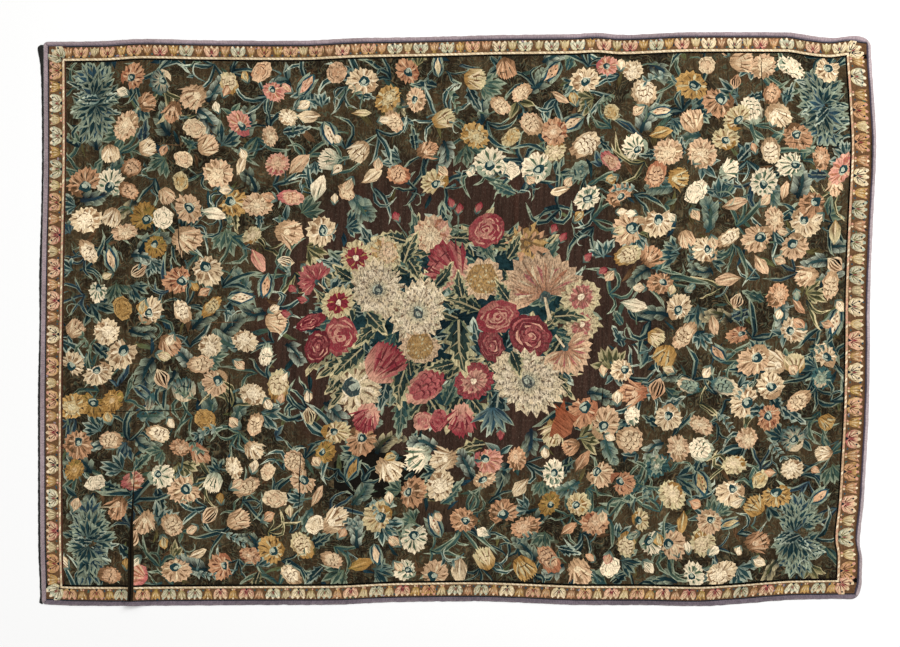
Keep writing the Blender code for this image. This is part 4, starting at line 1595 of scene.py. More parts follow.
RIGHT_BULGES = ((0.0, 0.0), (0.05, 0.009), (0.13, 0.01), (0.19, 0.0), (0.32, 0.01),
                (0.44, 0.015), (0.68, 0.021), (0.85, 0.02), (1.01, 0.017), (1.28, 0.021),
                (1.52, 0.027), (1.7, 0.015), (1.898, 0.0))

# Heights above the middle of the sheet, and the dark strip's width there.
DARK_STRIP_ROWS = ((-0.965, 0.005), (-0.961, 0.012), (-0.954, 0.008), (-0.94, 0.0062),
               (-0.9, 0.006), (-0.78, 0.0075), (-0.5, 0.007), (-0.27, 0.0075),
               (-0.02, 0.0055), (0.15, 0.0085), (0.35, 0.006), (0.6, 0.0065),
               (0.78, 0.008), (0.85, 0.011), (0.885, 0.015), (0.906, 0.02),
               (0.917, 0.0205), (0.924, 0.017), (0.928, 0.01))


def smooth_step(t: np.ndarray) -> np.ndarray:
    """0 to 1 with level ends."""
    t = np.clip(t, 0.0, 1.0)
    return t * t * (3.0 - 2.0 * t)


@dataclass(frozen=True)
class SmoothTable:
    """A smooth curve through a table's rows that doesn't overshoot between them."""

    rows: tuple[tuple[float, float], ...]
    span: float = 1.0

    def __call__(self, at: np.ndarray) -> np.ndarray:
        """The curve's values.

        Args:
            at: places, as shares of the span.
        Returns:
            The value at each place.
        """
        places = np.array([row[0] for row in self.rows]) / self.span
        values = np.array([row[1] for row in self.rows])
        steep = np.diff(values) / np.diff(places)
        slopes = np.zeros_like(values)
        before, after = steep[:-1], steep[1:]
        same = before * after > 0.0
        slopes[1:-1][same] = (2.0 * before * after)[same] / (before + after)[same]
        at = np.clip(at, places[0], places[-1])
        row = np.clip(np.searchsorted(places, at, side="right") - 1, 0, len(places) - 2)
        gap = places[row + 1] - places[row]
        t = (at - places[row]) / gap
        return ((1 + 2 * t) * (1 - t) ** 2 * values[row] + t * t * (3 - 2 * t) * values[row + 1]
                + gap * (t * (1 - t) ** 2 * slopes[row] - t * t * (1 - t) * slopes[row + 1]))


@dataclass(frozen=True)
class Edge:
    """One edge of the outline, its ends moved inward by insets."""

    start: tuple[float, float, float]
    end: tuple[float, float, float]
    bulges: tuple[tuple[float, float], ...]
    outward: Flat
    first_inset: Flat
    last_inset: Flat
    rounded: bool

    def place(self, share: np.ndarray) -> np.ndarray:
        """Points along the edge.

        Args:
            share: shares from 0 to 1 of the edge's length.
        Returns:
            One row of x and y for each share.
        """
        first = np.array(self.start[:2]) + self.first_inset
        last = np.array(self.end[:2]) + self.last_inset
        length = float(np.hypot(*(last - first)))
        skip = (1.0 - math.sqrt(0.5)) / length if self.rounded else 0.0
        head, foot = self.start[2] * skip, self.end[2] * skip
        at = head + (1.0 - head - foot) * np.asarray(share, float)
        out = SmoothTable(self.bulges, self.bulges[-1][0])(at)
        if self.rounded:
            for distance, radius in ((at * length, self.start[2]),
                                     ((1 - at) * length, self.end[2])):
                gap = np.clip(radius - distance, 0.0, radius)
                out = out - (radius - np.sqrt(radius ** 2 - gap ** 2))
        return first + (last - first) * at[:, None] + np.array(self.outward) * out[:, None]


@dataclass(frozen=True)
class Outline:
    """The four edges, moved inward by `side` at the left and right and `long` above and below."""

    side: float
    long: float
    rounded: bool = False

    def edge(self, side: Side) -> Edge:
        """The edge of one side. Each runs rightward or upward.

        Args:
            side: which side.
        Returns:
            Its edge, moved inward.
        """
        low_left, low_right = (self.side, self.long), (-self.side, self.long)
        high_left, high_right = (self.side, -self.long), (-self.side, -self.long)
        table = {
            Side.TOP: (TOP_LEFT, TOP_RIGHT, TOP_BULGES, (0.0, 1.0), high_left, high_right),
            Side.BOTTOM: (BOTTOM_LEFT, BOTTOM_RIGHT, BOTTOM_BULGES, (0.0, -1.0), low_left,
                          low_right),
            Side.LEFT: (BOTTOM_LEFT, TOP_LEFT, LEFT_BULGES, (-1.0, 0.0), low_left, high_left),
            Side.RIGHT: (BOTTOM_RIGHT, TOP_RIGHT, RIGHT_BULGES, (1.0, 0.0), low_right, high_right),
        }
        return Edge(*table[side], self.rounded)

    def inside(self, s: np.ndarray, t: np.ndarray) -> np.ndarray:
        """Places in the sheet at shares s across and t up, blended from the four edges.

        Args:
            s: shares across, from the left.
            t: shares up, from the bottom.
        Returns:
            Rows of x and y.
        """
        s, t = np.clip(s, 0.0, 1.0), np.clip(t, 0.0, 1.0)
        ends = np.array([0.0, 1.0])
        bottom, top = self.edge(Side.BOTTOM), self.edge(Side.TOP)
        low, high = bottom.place(s), top.place(s)
        west, east = self.edge(Side.LEFT).place(t), self.edge(Side.RIGHT).place(t)
        south, north = bottom.place(ends), top.place(ends)
        s, t = s[:, None], t[:, None]
        ruled = (1 - t) * low + t * high + (1 - s) * west + s * east
        return ruled - ((1 - s) * (1 - t) * south[0] + s * (1 - t) * south[1]
                        + (1 - s) * t * north[0] + s * t * north[1])


@dataclass(frozen=True)
class Fold:
    """A raised fold along a line, highest at `peak` of its length; the reaches are its slopes'."""

    x0: float
    y0: float
    x1: float
    y1: float
    height: float
    left: float
    right: float
    peak: float

    def rise(self, x: np.ndarray, y: np.ndarray) -> np.ndarray:
        """How far the fold lifts the cloth at each place.

        Args:
            x: places across.
            y: places up.
        Returns:
            How far the fold lifts the cloth at each.
        """
        length = math.hypot(self.x1 - self.x0, self.y1 - self.y0)
        ax, ay = (self.x1 - self.x0) / length, (self.y1 - self.y0) / length
        share = ((x - self.x0) * ax + (y - self.y0) * ay) / length
        aside = (x - self.x0) * ay - (y - self.y0) * ax
        reach = np.where(aside > 0.0, self.right, self.left)
        along = smooth_step(share / self.peak) * smooth_step((1 - share) / (1 - self.peak))
        across = smooth_step(1.0 - np.abs(aside) / reach)
        return np.where((share > 0.0) & (share < 1.0), self.height * along * across, 0.0)


PLEAT = Fold(-1.117, -1.08, -1.076, 0.02, 0.013, 0.015, 0.07, 0.12)
FOLDS = (
    PLEAT,
    Fold(-0.94, -0.06, -0.93, 0.42, 0.004, 0.06, 0.055, 0.55),
    Fold(-0.5, -0.72, -0.5, -0.36, 0.0035, 0.06, 0.05, 0.5),
    Fold(1.265, 1.03, 0.96, 0.6, 0.006, 0.08, 0.07, 0.2),
    Fold(-0.325, -0.76, -0.325, -0.46, 0.003, 0.045, 0.05, 0.45),
    Fold(-0.76, -0.7, -0.756, -0.4, 0.003, 0.05, 0.045, 0.5),
    Fold(0.5, -0.37, 0.5, -0.11, 0.003, 0.05, 0.05, 0.5),
    Fold(0.955, -0.88, 0.955, -0.68, 0.0025, 0.045, 0.045, 0.5),
)

# Narrow creases pressed into the wool.
CREASES = (
    Fold(-0.511, -0.66, -0.511, -0.4, 0.0012, 0.004, 0.012, 0.5),
    Fold(-0.304, 0.0, -0.3, 0.16, 0.0014, 0.006, 0.01, 0.5),
    Fold(0.268, 0.06, 0.296, 0.15, 0.0015, 0.006, 0.009, 0.4),
    Fold(0.258, -0.2, 0.262, -0.12, 0.0014, 0.005, 0.008, 0.5),
    Fold(-0.757, -0.42, -0.758, -0.15, 0.0014, 0.004, 0.012, 0.5),
    Fold(-0.948, -0.01, -0.964, 0.16, 0.0014, 0.004, 0.014, 0.5),
    Fold(-0.928, 0.17, -0.948, 0.38, 0.0013, 0.004, 0.014, 0.5),
    Fold(0.5, -0.33, 0.501, -0.19, 0.0014, 0.004, 0.012, 0.5),
    Fold(0.955, -0.83, 0.955, -0.74, 0.0012, 0.004, 0.012, 0.5),
    Fold(-0.326, -0.69, -0.328, -0.52, 0.0012, 0.004, 0.012, 0.5),
    Fold(1.026, 0.58, 1.026, 0.92, 0.001, 0.006, 0.008, 0.5),
)
PLEAT_TAKE = 0.018          # cloth taken up by the pleat at its foot
PLEAT_SPAN = 0.03          # and over how much of the cloth
PLEAT_SHIFT = 0.02         # from the ridge on the surface to its place in the flat


def pleat_ridge(y: np.ndarray | float) -> np.ndarray | float:
    """Where the pleat's ridge crosses heights of the flat drawing."""
    return (PLEAT_SHIFT + PLEAT.x0
            + (PLEAT.x1 - PLEAT.x0) * (y - PLEAT.y0) / (PLEAT.y1 - PLEAT.y0))


@dataclass(frozen=True)
class Relief:
    """The cloth's height above the surface that it lies on."""

    folds: tuple[Fold, ...] = FOLDS
    creases: tuple[Fold, ...] = CREASES
    lift: float = 0.0002        # of the face above the solid's
    step: float = 0.0012        # over which slopes are measured

    def under(self, x: np.ndarray, y: np.ndarray) -> np.ndarray:
        """Height of the cloth's underside."""
        return np.max([fold.rise(x, y) for fold in self.folds], axis=0)

    def over(self, x: np.ndarray, y: np.ndarray, thick: float) -> np.ndarray:
        """Height of the cloth's face, with its fine creases and slack.

        Args:
            x: places across.
            y: places up.
            thick: how thick the cloth is.
        Returns:
            The heights.
        """
        fine = np.sum([crease.rise(x, y) for crease in self.creases], axis=0)
        slack = (0.00045 * (np.sin(x * 23.0 + 1.7 * np.sin(y * 3.1)) * np.sin(y * 5.0 + x * 2.0))
                 + 0.00035 * np.sin(x * 47.0 + 2.6 * np.sin(y * 4.3 + 1.0))
                 + 0.00025 * np.sin(y * 38.0 + 2.2 * np.sin(x * 5.1)))
        return self.under(x, y) + thick + fine + slack + self.lift

    def normals(self, x: np.ndarray, y: np.ndarray, thick: float) -> np.ndarray:
        """Unit normals of the cloth's face.

        Args:
            x: places across.
            y: places up.
            thick: how thick the cloth is.
        Returns:
            Rows of unit vectors.
        """
        d = self.step
        dx = (self.over(x + d, y, thick) - self.over(x - d, y, thick)) / (2 * d)
        dy = (self.over(x, y + d, thick) - self.over(x, y - d, thick)) / (2 * d)
        out = np.stack([-dx, -dy, np.ones_like(dx)], axis=1)
        return out / np.linalg.norm(out, axis=1, keepdims=True)


# ---- Meshes ----

NEAR = 1e-6                 # corners closer than this are one
NO_AREA = 1e-12             # triangles below this are dropped
SPILT = 1.6                 # times its own area that a shape covers if it was read inside out
EDGE_PART = 0.024           # longest run of an outline between corners of the mesh


@dataclass
class Patchwork:
    """Flat triangles and the shape that each belongs to."""

    places: np.ndarray
    faces: np.ndarray
    owners: np.ndarray


def turned_areas(places: np.ndarray, faces: np.ndarray) -> np.ndarray:
    """Twice the area of each flat triangle, negative where it runs clockwise.

    Args:
        places: rows of x and y.
        faces: three corners each.
    Returns:
        One value for each triangle.
    """
    a, b, c = (places[faces[:, i]] for i in range(3))
    return ((b[:, 0] - a[:, 0]) * (c[:, 1] - a[:, 1]) - (b[:, 1] - a[:, 1]) * (c[:, 0] - a[:, 0]))


def signed_area(points: Sequence[Flat]) -> float:
    """Area of a closed outline, positive when it runs anticlockwise.

    Args:
        points: the outline's points in order.
    Returns:
        The area.
    """
    total = 0.0
    for (ax, ay), (bx, by) in zip(points, [*points[1:], points[0]]):
        total += ax * by - bx * ay
    return 0.5 * total


def face_areas(places: np.ndarray, faces: np.ndarray) -> np.ndarray:
    """Area of each flat triangle."""
    return 0.5 * np.abs(turned_areas(places, faces))


def merge_shapes(shapes: Sequence[Shape]) -> Patchwork:
    """Cut overlapping shapes into triangles that don't overlap, the topmost shape showing.

    Args:
        shapes: the shapes in painter's order, the first of which covers the whole sheet.
    Returns:
        The triangles inside the first shape.
    """
    corners: list[Vector] = []
    loops: list[list[int]] = []
    sizes: list[float] = []
    for shape in shapes:
        area = signed_area(shape.points)
        points = shape.points if area > 0.0 else shape.points[::-1]
        loops.append(list(range(len(corners), len(corners) + len(points))))
        corners += [Vector(point) for point in points]
        sizes.append(abs(area))
    made = delaunay_2d_cdt(corners, [], loops, 0, NEAR, True)
    places = np.array([(v.x, v.y) for v in made[0]])
    faces = np.array([face for face in made[2]], int)
    areas = face_areas(places, faces)
    covered = np.zeros(len(shapes))
    for ids, area in zip(made[5], areas):
        for one in ids:
            covered[one] += area
    spilt = {i for i, size in enumerate(sizes) if covered[i] > SPILT * size + 1e-5}
    owners = np.array([max((i for i in ids if i not in spilt), default=-1) if ids else -1
                       for ids in made[5]])
    held = (owners >= 0) & (areas > NO_AREA) & np.array([0 in ids for ids in made[5]])
    log.info("weaving: %d shapes, %d left out, %d triangles", len(shapes), len(spilt),
             int(held.sum()))
    return Patchwork(places, faces[held], owners[held])


def shared_edges(work: Patchwork) -> tuple[np.ndarray, np.ndarray]:
    """Edges of the triangles, and the triangles on each side of them.

    Args:
        work: the triangles.
    Returns:
        Pairs of corners, and pairs of triangles with -1 where there is only one.
    """
    faces = work.faces
    pairs = np.sort(np.concatenate([faces[:, [0, 1]], faces[:, [1, 2]], faces[:, [2, 0]]]), axis=1)
    holder = np.tile(np.arange(len(faces)), 3)
    order = np.lexsort((pairs[:, 1], pairs[:, 0]))
    pairs, holder = pairs[order], holder[order]
    twin = np.all(pairs[1:] == pairs[:-1], axis=1)
    first = np.concatenate([[True], ~twin])
    starts = np.nonzero(first)[0]
    beside = np.full((len(starts), 2), -1)
    beside[:, 0] = holder[starts]
    doubled = np.nonzero(np.concatenate([twin, [False]])[starts])[0]
    beside[doubled, 1] = holder[starts[doubled] + 1]
    return pairs[starts], beside


def drop_scraps(work: Patchwork, least: float) -> int:
    """Give each scrap of colour to the neighbour that it borders most.

    Args:
        work: the triangles, whose owners change.
        least: the smallest area that stays, in square metres.
    Returns:
        How many scraps were given away.
    """
    pairs, beside = shared_edges(work)
    inner = beside[:, 1] >= 0
    pairs, beside = pairs[inner], beside[inner]
    parent = np.arange(len(work.faces))
    same = work.owners[beside[:, 0]] == work.owners[beside[:, 1]]
    links = beside[same]
    while True:                                   # spread the lowest label through each region
        low = np.minimum(parent[links[:, 0]], parent[links[:, 1]])
        fresh = parent.copy()
        np.minimum.at(fresh, links[:, 0], low)
        np.minimum.at(fresh, links[:, 1], low)
        fresh = fresh[fresh]
        if np.array_equal(fresh, parent):
            break
        parent = fresh
    areas = face_areas(work.places, work.faces)
    sizes = np.zeros(len(work.faces))
    np.add.at(sizes, parent, areas)
    small = sizes[parent] < least
    runs = np.linalg.norm(work.places[pairs[:, 0]] - work.places[pairs[:, 1]], axis=1)
    gains: dict[tuple[int, int], float] = {}
    for (a, b), run in zip(beside[~same], runs[~same]):
        for here, there in ((a, b), (b, a)):
            if small[here] and not small[there]:
                key = (int(parent[here]), int(work.owners[there]))
                gains[key] = gains.get(key, 0.0) + float(run)
    best: dict[int, tuple[float, int]] = {}
    for (region, owner), run in gains.items():
        if run > best.get(region, (0.0, -1))[0]:
            best[region] = (run, owner)
    for face in np.nonzero(small)[0]:
        region = int(parent[face])
        if region in best:
            work.owners[face] = best[region][1]
    return len(best)


def straightened(chain: list[int], places: np.ndarray, slack: float) -> list[int]:
    """A chain of corners without those that it can do without.

    Args:
        chain: the corners in order.
        places: where every corner is.
        slack: how far the line may move, in metres.
    Returns:
        The corners that stay.
    """
    keep = {0, len(chain) - 1}
    todo = [(0, len(chain) - 1)]
    points = places[chain]
    while todo:
        a, b = todo.pop()
        if b - a < 2:
            continue
        run = points[b] - points[a]
        length = math.hypot(*run)
        between = points[a + 1:b] - points[a]
        if length < 1e-9:
            off = np.hypot(between[:, 0], between[:, 1])
        else:
            off = np.abs(between[:, 0] * run[1] - between[:, 1] * run[0]) / length
        worst = int(np.argmax(off))
        if off[worst] > slack:
            keep.add(a + 1 + worst)
            todo += [(a, a + 1 + worst), (a + 1 + worst, b)]
    return [chain[i] for i in sorted(keep)]


def visible_lines(work: Patchwork, slack: float) -> list[tuple[int, int]]:
    """The lines between different shapes and round the sheet, without needless corners.

    Args:
        work: the triangles.
        slack: how far a line may move, in metres.
    Returns:
        Pairs of corners.
    """
    pairs, beside = shared_edges(work)
    rim = beside[:, 1] < 0
    shown = rim | (work.owners[beside[:, 0]] != work.owners[beside[:, 1]])
    joins: dict[int, list[int]] = {}
    for a, b in pairs[shown].tolist():
        joins.setdefault(a, []).append(b)
        joins.setdefault(b, []).append(a)
    used: set[tuple[int, int]] = set()
    lines: list[tuple[int, int]] = []

    def walk(start: int, then: int) -> list[int]:
        """Follow a line to its next fork or back to its start.

        Args:
            start: its first corner.
            then: its second.
        Returns:
            All its corners.
        """
        chain = [start, then]
        used.update(((start, then), (then, start)))
        while len(joins[chain[-1]]) == 2 and chain[-1] != start:
            here = chain[-1]
            a, b = joins[here]
            ahead = b if a == chain[-2] else a
            used.update(((here, ahead), (ahead, here)))
            chain.append(ahead)
        return chain

    nodes = [n for n, others in joins.items() if len(others) != 2]
    for start in nodes + list(joins):
        for then in joins[start]:
            if (start, then) not in used:
                chain = straightened(walk(start, then), work.places, slack)
                if chain[0] == chain[-1] and len(chain) < 4:
                    continue
                lines += list(zip(chain[:-1], chain[1:]))
    return lines


def lighten(work: Patchwork, extra: Sequence[Flat], least: float, slack: float) -> Patchwork:
    """Mesh the weaving again along what shows only.

    Args:
        work: the first mesh.
        extra: further points to mesh through.
        least: scraps below this area go to a neighbour.
        slack: how far an outline may move, in metres.
    Returns:
        The lighter mesh.
    """
    for _ in range(2):
        log.info("weaving: %d scraps given to a neighbour", drop_scraps(work, least))
    lines = visible_lines(work, slack)
    used = sorted({corner for line in lines for corner in line})
    index = {corner: i for i, corner in enumerate(used)}
    corners = [Vector(work.places[corner]) for corner in used] + [Vector(point) for point in extra]
    for a, b in lines:
        run = work.places[b] - work.places[a]
        parts = math.ceil(float(np.hypot(*run)) / EDGE_PART)
        corners += [Vector(work.places[a] + run * i / parts) for i in range(1, parts)]
    made = delaunay_2d_cdt(corners, [(index[a], index[b]) for a, b in lines], [], 0, NEAR, False)
    places = np.array([(v.x, v.y) for v in made[0]])
    faces = np.array(list(made[2]), int)
    finder = BVHTree.FromPolygons([(x, y, 0.0) for x, y in work.places.tolist()],
                                  work.faces.tolist())
    middles = places[faces].mean(axis=1)
    owners = np.full(len(faces), -1)
    down = Vector((0.0, 0.0, -1.0))
    for i, (x, y) in enumerate(middles.tolist()):
        face = finder.ray_cast(Vector((x, y, 1.0)), down)[2]
        if face is not None:
            owners[i] = work.owners[face]
    held = (owners >= 0) & (face_areas(places, faces) > NO_AREA)
    return Patchwork(places, faces[held], owners[held])


# ---- Shaders ----

Socket = bpy.types.NodeSocket
Feed = Socket | float | tuple[float, ...]

# Tints in linear light, and heights in metres.
BETWEEN_THREADS = (0.5, 0.4, 0.34)      # share of its colour that a gap between threads keeps
PALE_WARP = (0.42, 0.36, 0.27)
DARK_WARP = (0.085, 0.07, 0.055)
SOIL = (0.36, 0.3, 0.22)
RIB_HEIGHT = 0.0007
LUMP_HEIGHT = 0.0009


@dataclass
class Graph:
    """A node tree that is filled from its inputs to its outputs."""

    tree: bpy.types.NodeTree

    def node(self, kind: str, feeds: dict[str | int, Feed], **settings: object) -> bpy.types.Node:
        """Add a node.

        Args:
            kind: its type's name without the "ShaderNode" in front.
            feeds: what goes into its sockets, by name or number: a value or another socket.
            **settings: its own properties.
        Returns:
            The node.
        """
        node = self.tree.nodes.new("ShaderNode" + kind)
        for name, value in settings.items():
            setattr(node, name, value)
        return self.fed(node, feeds)

    def fed(self, node: bpy.types.Node, feeds: dict[str | int, Feed]) -> bpy.types.Node:
        """Link or set the node's inputs, by name or number.

        Args:
            node: the node.
            feeds: a value or another node's socket for each input.
        Returns:
            The same node.
        """
        for key, feed in feeds.items():
            if isinstance(feed, bpy.types.NodeSocket):
                self.tree.links.new(feed, node.inputs[key])
            else:
                node.inputs[key].default_value = feed
        return node

    def maths(self, operation: str, a: Feed, b: Feed = 0.0, c: Feed = 0.0) -> Socket:
        """One step of arithmetic."""
        return self.node("Math", {0: a, 1: b, 2: c}, operation=operation).outputs[0]

    def product(self, a: Feed, b: Feed) -> Socket:
        """Two numbers multiplied."""
        return self.maths("MULTIPLY", a, b)

    def ramp(self, value: Feed, low: float, high: float, a: float = 0.0, b: float = 1.0) -> Socket:
        """A value between `low` and `high` turned smoothly into one between `a` and `b`."""
        return self.node("MapRange", {0: value, 1: low, 2: high, 3: a, 4: b},
                         interpolation_type="SMOOTHSTEP").outputs[0]

    def scaled(self, colour: Feed, amount: Feed) -> Socket:
        """A colour or vector times a number."""
        return self.node("VectorMath", {0: colour, "Scale": amount}, operation="SCALE").outputs[0]

    def times(self, a: Feed, b: Feed) -> Socket:
        """Two colours or vectors multiplied part by part."""
        return self.node("VectorMath", {0: a, 1: b}, operation="MULTIPLY").outputs[0]

    def mixed(self, share: Feed, a: Feed, b: Feed) -> Socket:
        """A colour between two."""
        return self.node("Mix", {0: share, 4: a, 5: b}, data_type="VECTOR").outputs[1]

    def noise(self, where: Feed, scale: float, detail: float = 2.0, rough: float = 0.5) -> Socket:
        """Soft noise from 0 to 1."""
        return self.node("TexNoise", {"Vector": where, "Scale": scale, "Detail": detail,
                                      "Roughness": rough}).outputs[0]

    def group(self, tree: bpy.types.NodeTree, **feeds: Feed) -> Socket:
        """Add a node group with its inputs fed by name; its first output."""
        return self.fed(self.node("Group", {}, node_tree=tree), feeds).outputs[0]

    def stretched(self, place: Feed, x: float, y: float) -> Socket:
        """Places stretched along X and Y."""
        return self.times(place, (x, y, 1.0))

    def dress(self, shader: bpy.types.Node, colour: Socket, height: Socket) -> None:
        """Feed the shader a colour and a relief in metres."""
        bump = self.node("Bump", {"Height": height, "Strength": 1.0, "Distance": 1.0})
        self.fed(shader, {"Base Color": colour, "Normal": bump.outputs[0]})


def new_material(name: str, roughness: float, specular: float
                 ) -> tuple[bpy.types.Material, Graph, bpy.types.Node]:
    """Start a material.

    Args:
        name: the material's name.
        roughness: its shader's roughness.
        specular: its shader's specular level.
    Returns:
        The material, a graph to fill and its shader.
    """
    material = bpy.data.materials.new(name)
    material.use_nodes = True
    graph, shader = Graph(material.node_tree), material.node_tree.nodes["Principled BSDF"]
    graph.fed(shader, {"Roughness": roughness, "Specular IOR Level": specular})
    return material, graph, shader


def new_group(name: str, inputs: dict[str, str], outputs: dict[str, str]
              ) -> tuple[Graph, bpy.types.NodeTree, bpy.types.Node]:
    """Start a shader node group.

    Args:
        name: the group's name.
        inputs: each input's name and kind of socket: Float, Color or Vector.
        outputs: the same for the outputs.
    Returns:
        A graph to fill, the group's tree and its input node.
    """
    tree = bpy.data.node_groups.new(name, "ShaderNodeTree")
    for way, sockets in (("INPUT", inputs), ("OUTPUT", outputs)):
        for socket, kind in sockets.items():
            tree.interface.new_socket(socket, in_out=way, socket_type="NodeSocket" + kind)
    return Graph(tree), tree, tree.nodes.new("NodeGroupInput")


def end_group(graph: Graph, **feeds: Socket) -> None:
    """Feed the group's outputs."""
    graph.fed(graph.tree.nodes.new("NodeGroupOutput"), feeds)


def hatching_group() -> bpy.types.NodeTree:
    """Streaks of lighter and darker weft that follow each petal and leaf.

    Returns:
        The group.
    """
    graph, tree, start = new_group("hatching", {"Colour": "Color", "Grain": "Vector",
                                                "Amount": "Float"}, {"Colour": "Color"})
    fine = graph.noise(start.outputs["Grain"], 1.0, 3.0, 0.62)
    light = graph.ramp(fine, 0.3, 0.7, -1.0, 1.0)
    strong = graph.product(light, start.outputs["Amount"])
    light = graph.maths("MULTIPLY_ADD", strong, 0.34, 0.98)
    streaked = graph.scaled(start.outputs["Colour"], light)
    dark = graph.ramp(fine, 0.47, 0.35)
    dark = graph.product(dark, start.outputs["Amount"])
    brown = graph.times(streaked, BETWEEN_THREADS)
    end_group(graph, Colour=graph.mixed(graph.product(dark, 0.8), streaked, brown))
    return tree


def wear_group() -> bpy.types.NodeTree:
    """Speckle of the single threads, worn spots and faint soiling over the whole weaving.

    Returns:
        The group.
    """
    graph, tree, start = new_group("wear", {"Colour": "Color", "Place": "Vector", "Fret": "Float"},
                                   {"Colour": "Color"})
    place = start.outputs["Place"]
    threads = graph.stretched(place, 1.0, 0.45)
    speckle = graph.noise(threads, 300.0, 2.0, 0.7)
    light = graph.ramp(speckle, 0.3, 0.7, 0.74, 1.22)
    patchy = graph.noise(place, 4.5, 3.0, 0.6)
    light = graph.product(light, graph.ramp(patchy, 0.3, 0.7, 0.9, 1.1))
    colour = graph.scaled(start.outputs["Colour"], light)
    bare = graph.noise(threads, 170.0, 3.0, 0.75)
    pale = graph.ramp(bare, 0.5, 0.66)
    worn = graph.product(pale, graph.product(start.outputs["Fret"], 0.55))
    colour = graph.mixed(worn, colour, PALE_WARP)
    gone = graph.ramp(bare, 0.5, 0.42)
    gone = graph.product(gone, graph.product(start.outputs["Fret"], 0.85))
    colour = graph.mixed(gone, colour, DARK_WARP)
    rubbed = graph.product(graph.ramp(speckle, 0.6, 0.72), graph.ramp(patchy, 0.5, 0.7))
    end_group(graph, Colour=graph.mixed(graph.product(rubbed, 0.2), colour, SOIL))
    return tree


def rib_group() -> bpy.types.NodeTree:
    """Height of the weave: ribs over the warps, crossed by fine weft.

    Returns:
        The group.
    """
    graph, tree, start = new_group("ribs", {"Place": "Vector"}, {"Height": "Float"})
    ribs = graph.noise(graph.stretched(start.outputs["Place"], 1.0, 0.22), 330.0, 1.0, 0.5)
    lumps = graph.noise(start.outputs["Place"], 210.0, 2.0, 0.6)
    height = graph.product(ribs, RIB_HEIGHT)
    end_group(graph, Height=graph.maths("MULTIPLY_ADD", lumps, LUMP_HEIGHT, height))
    return tree


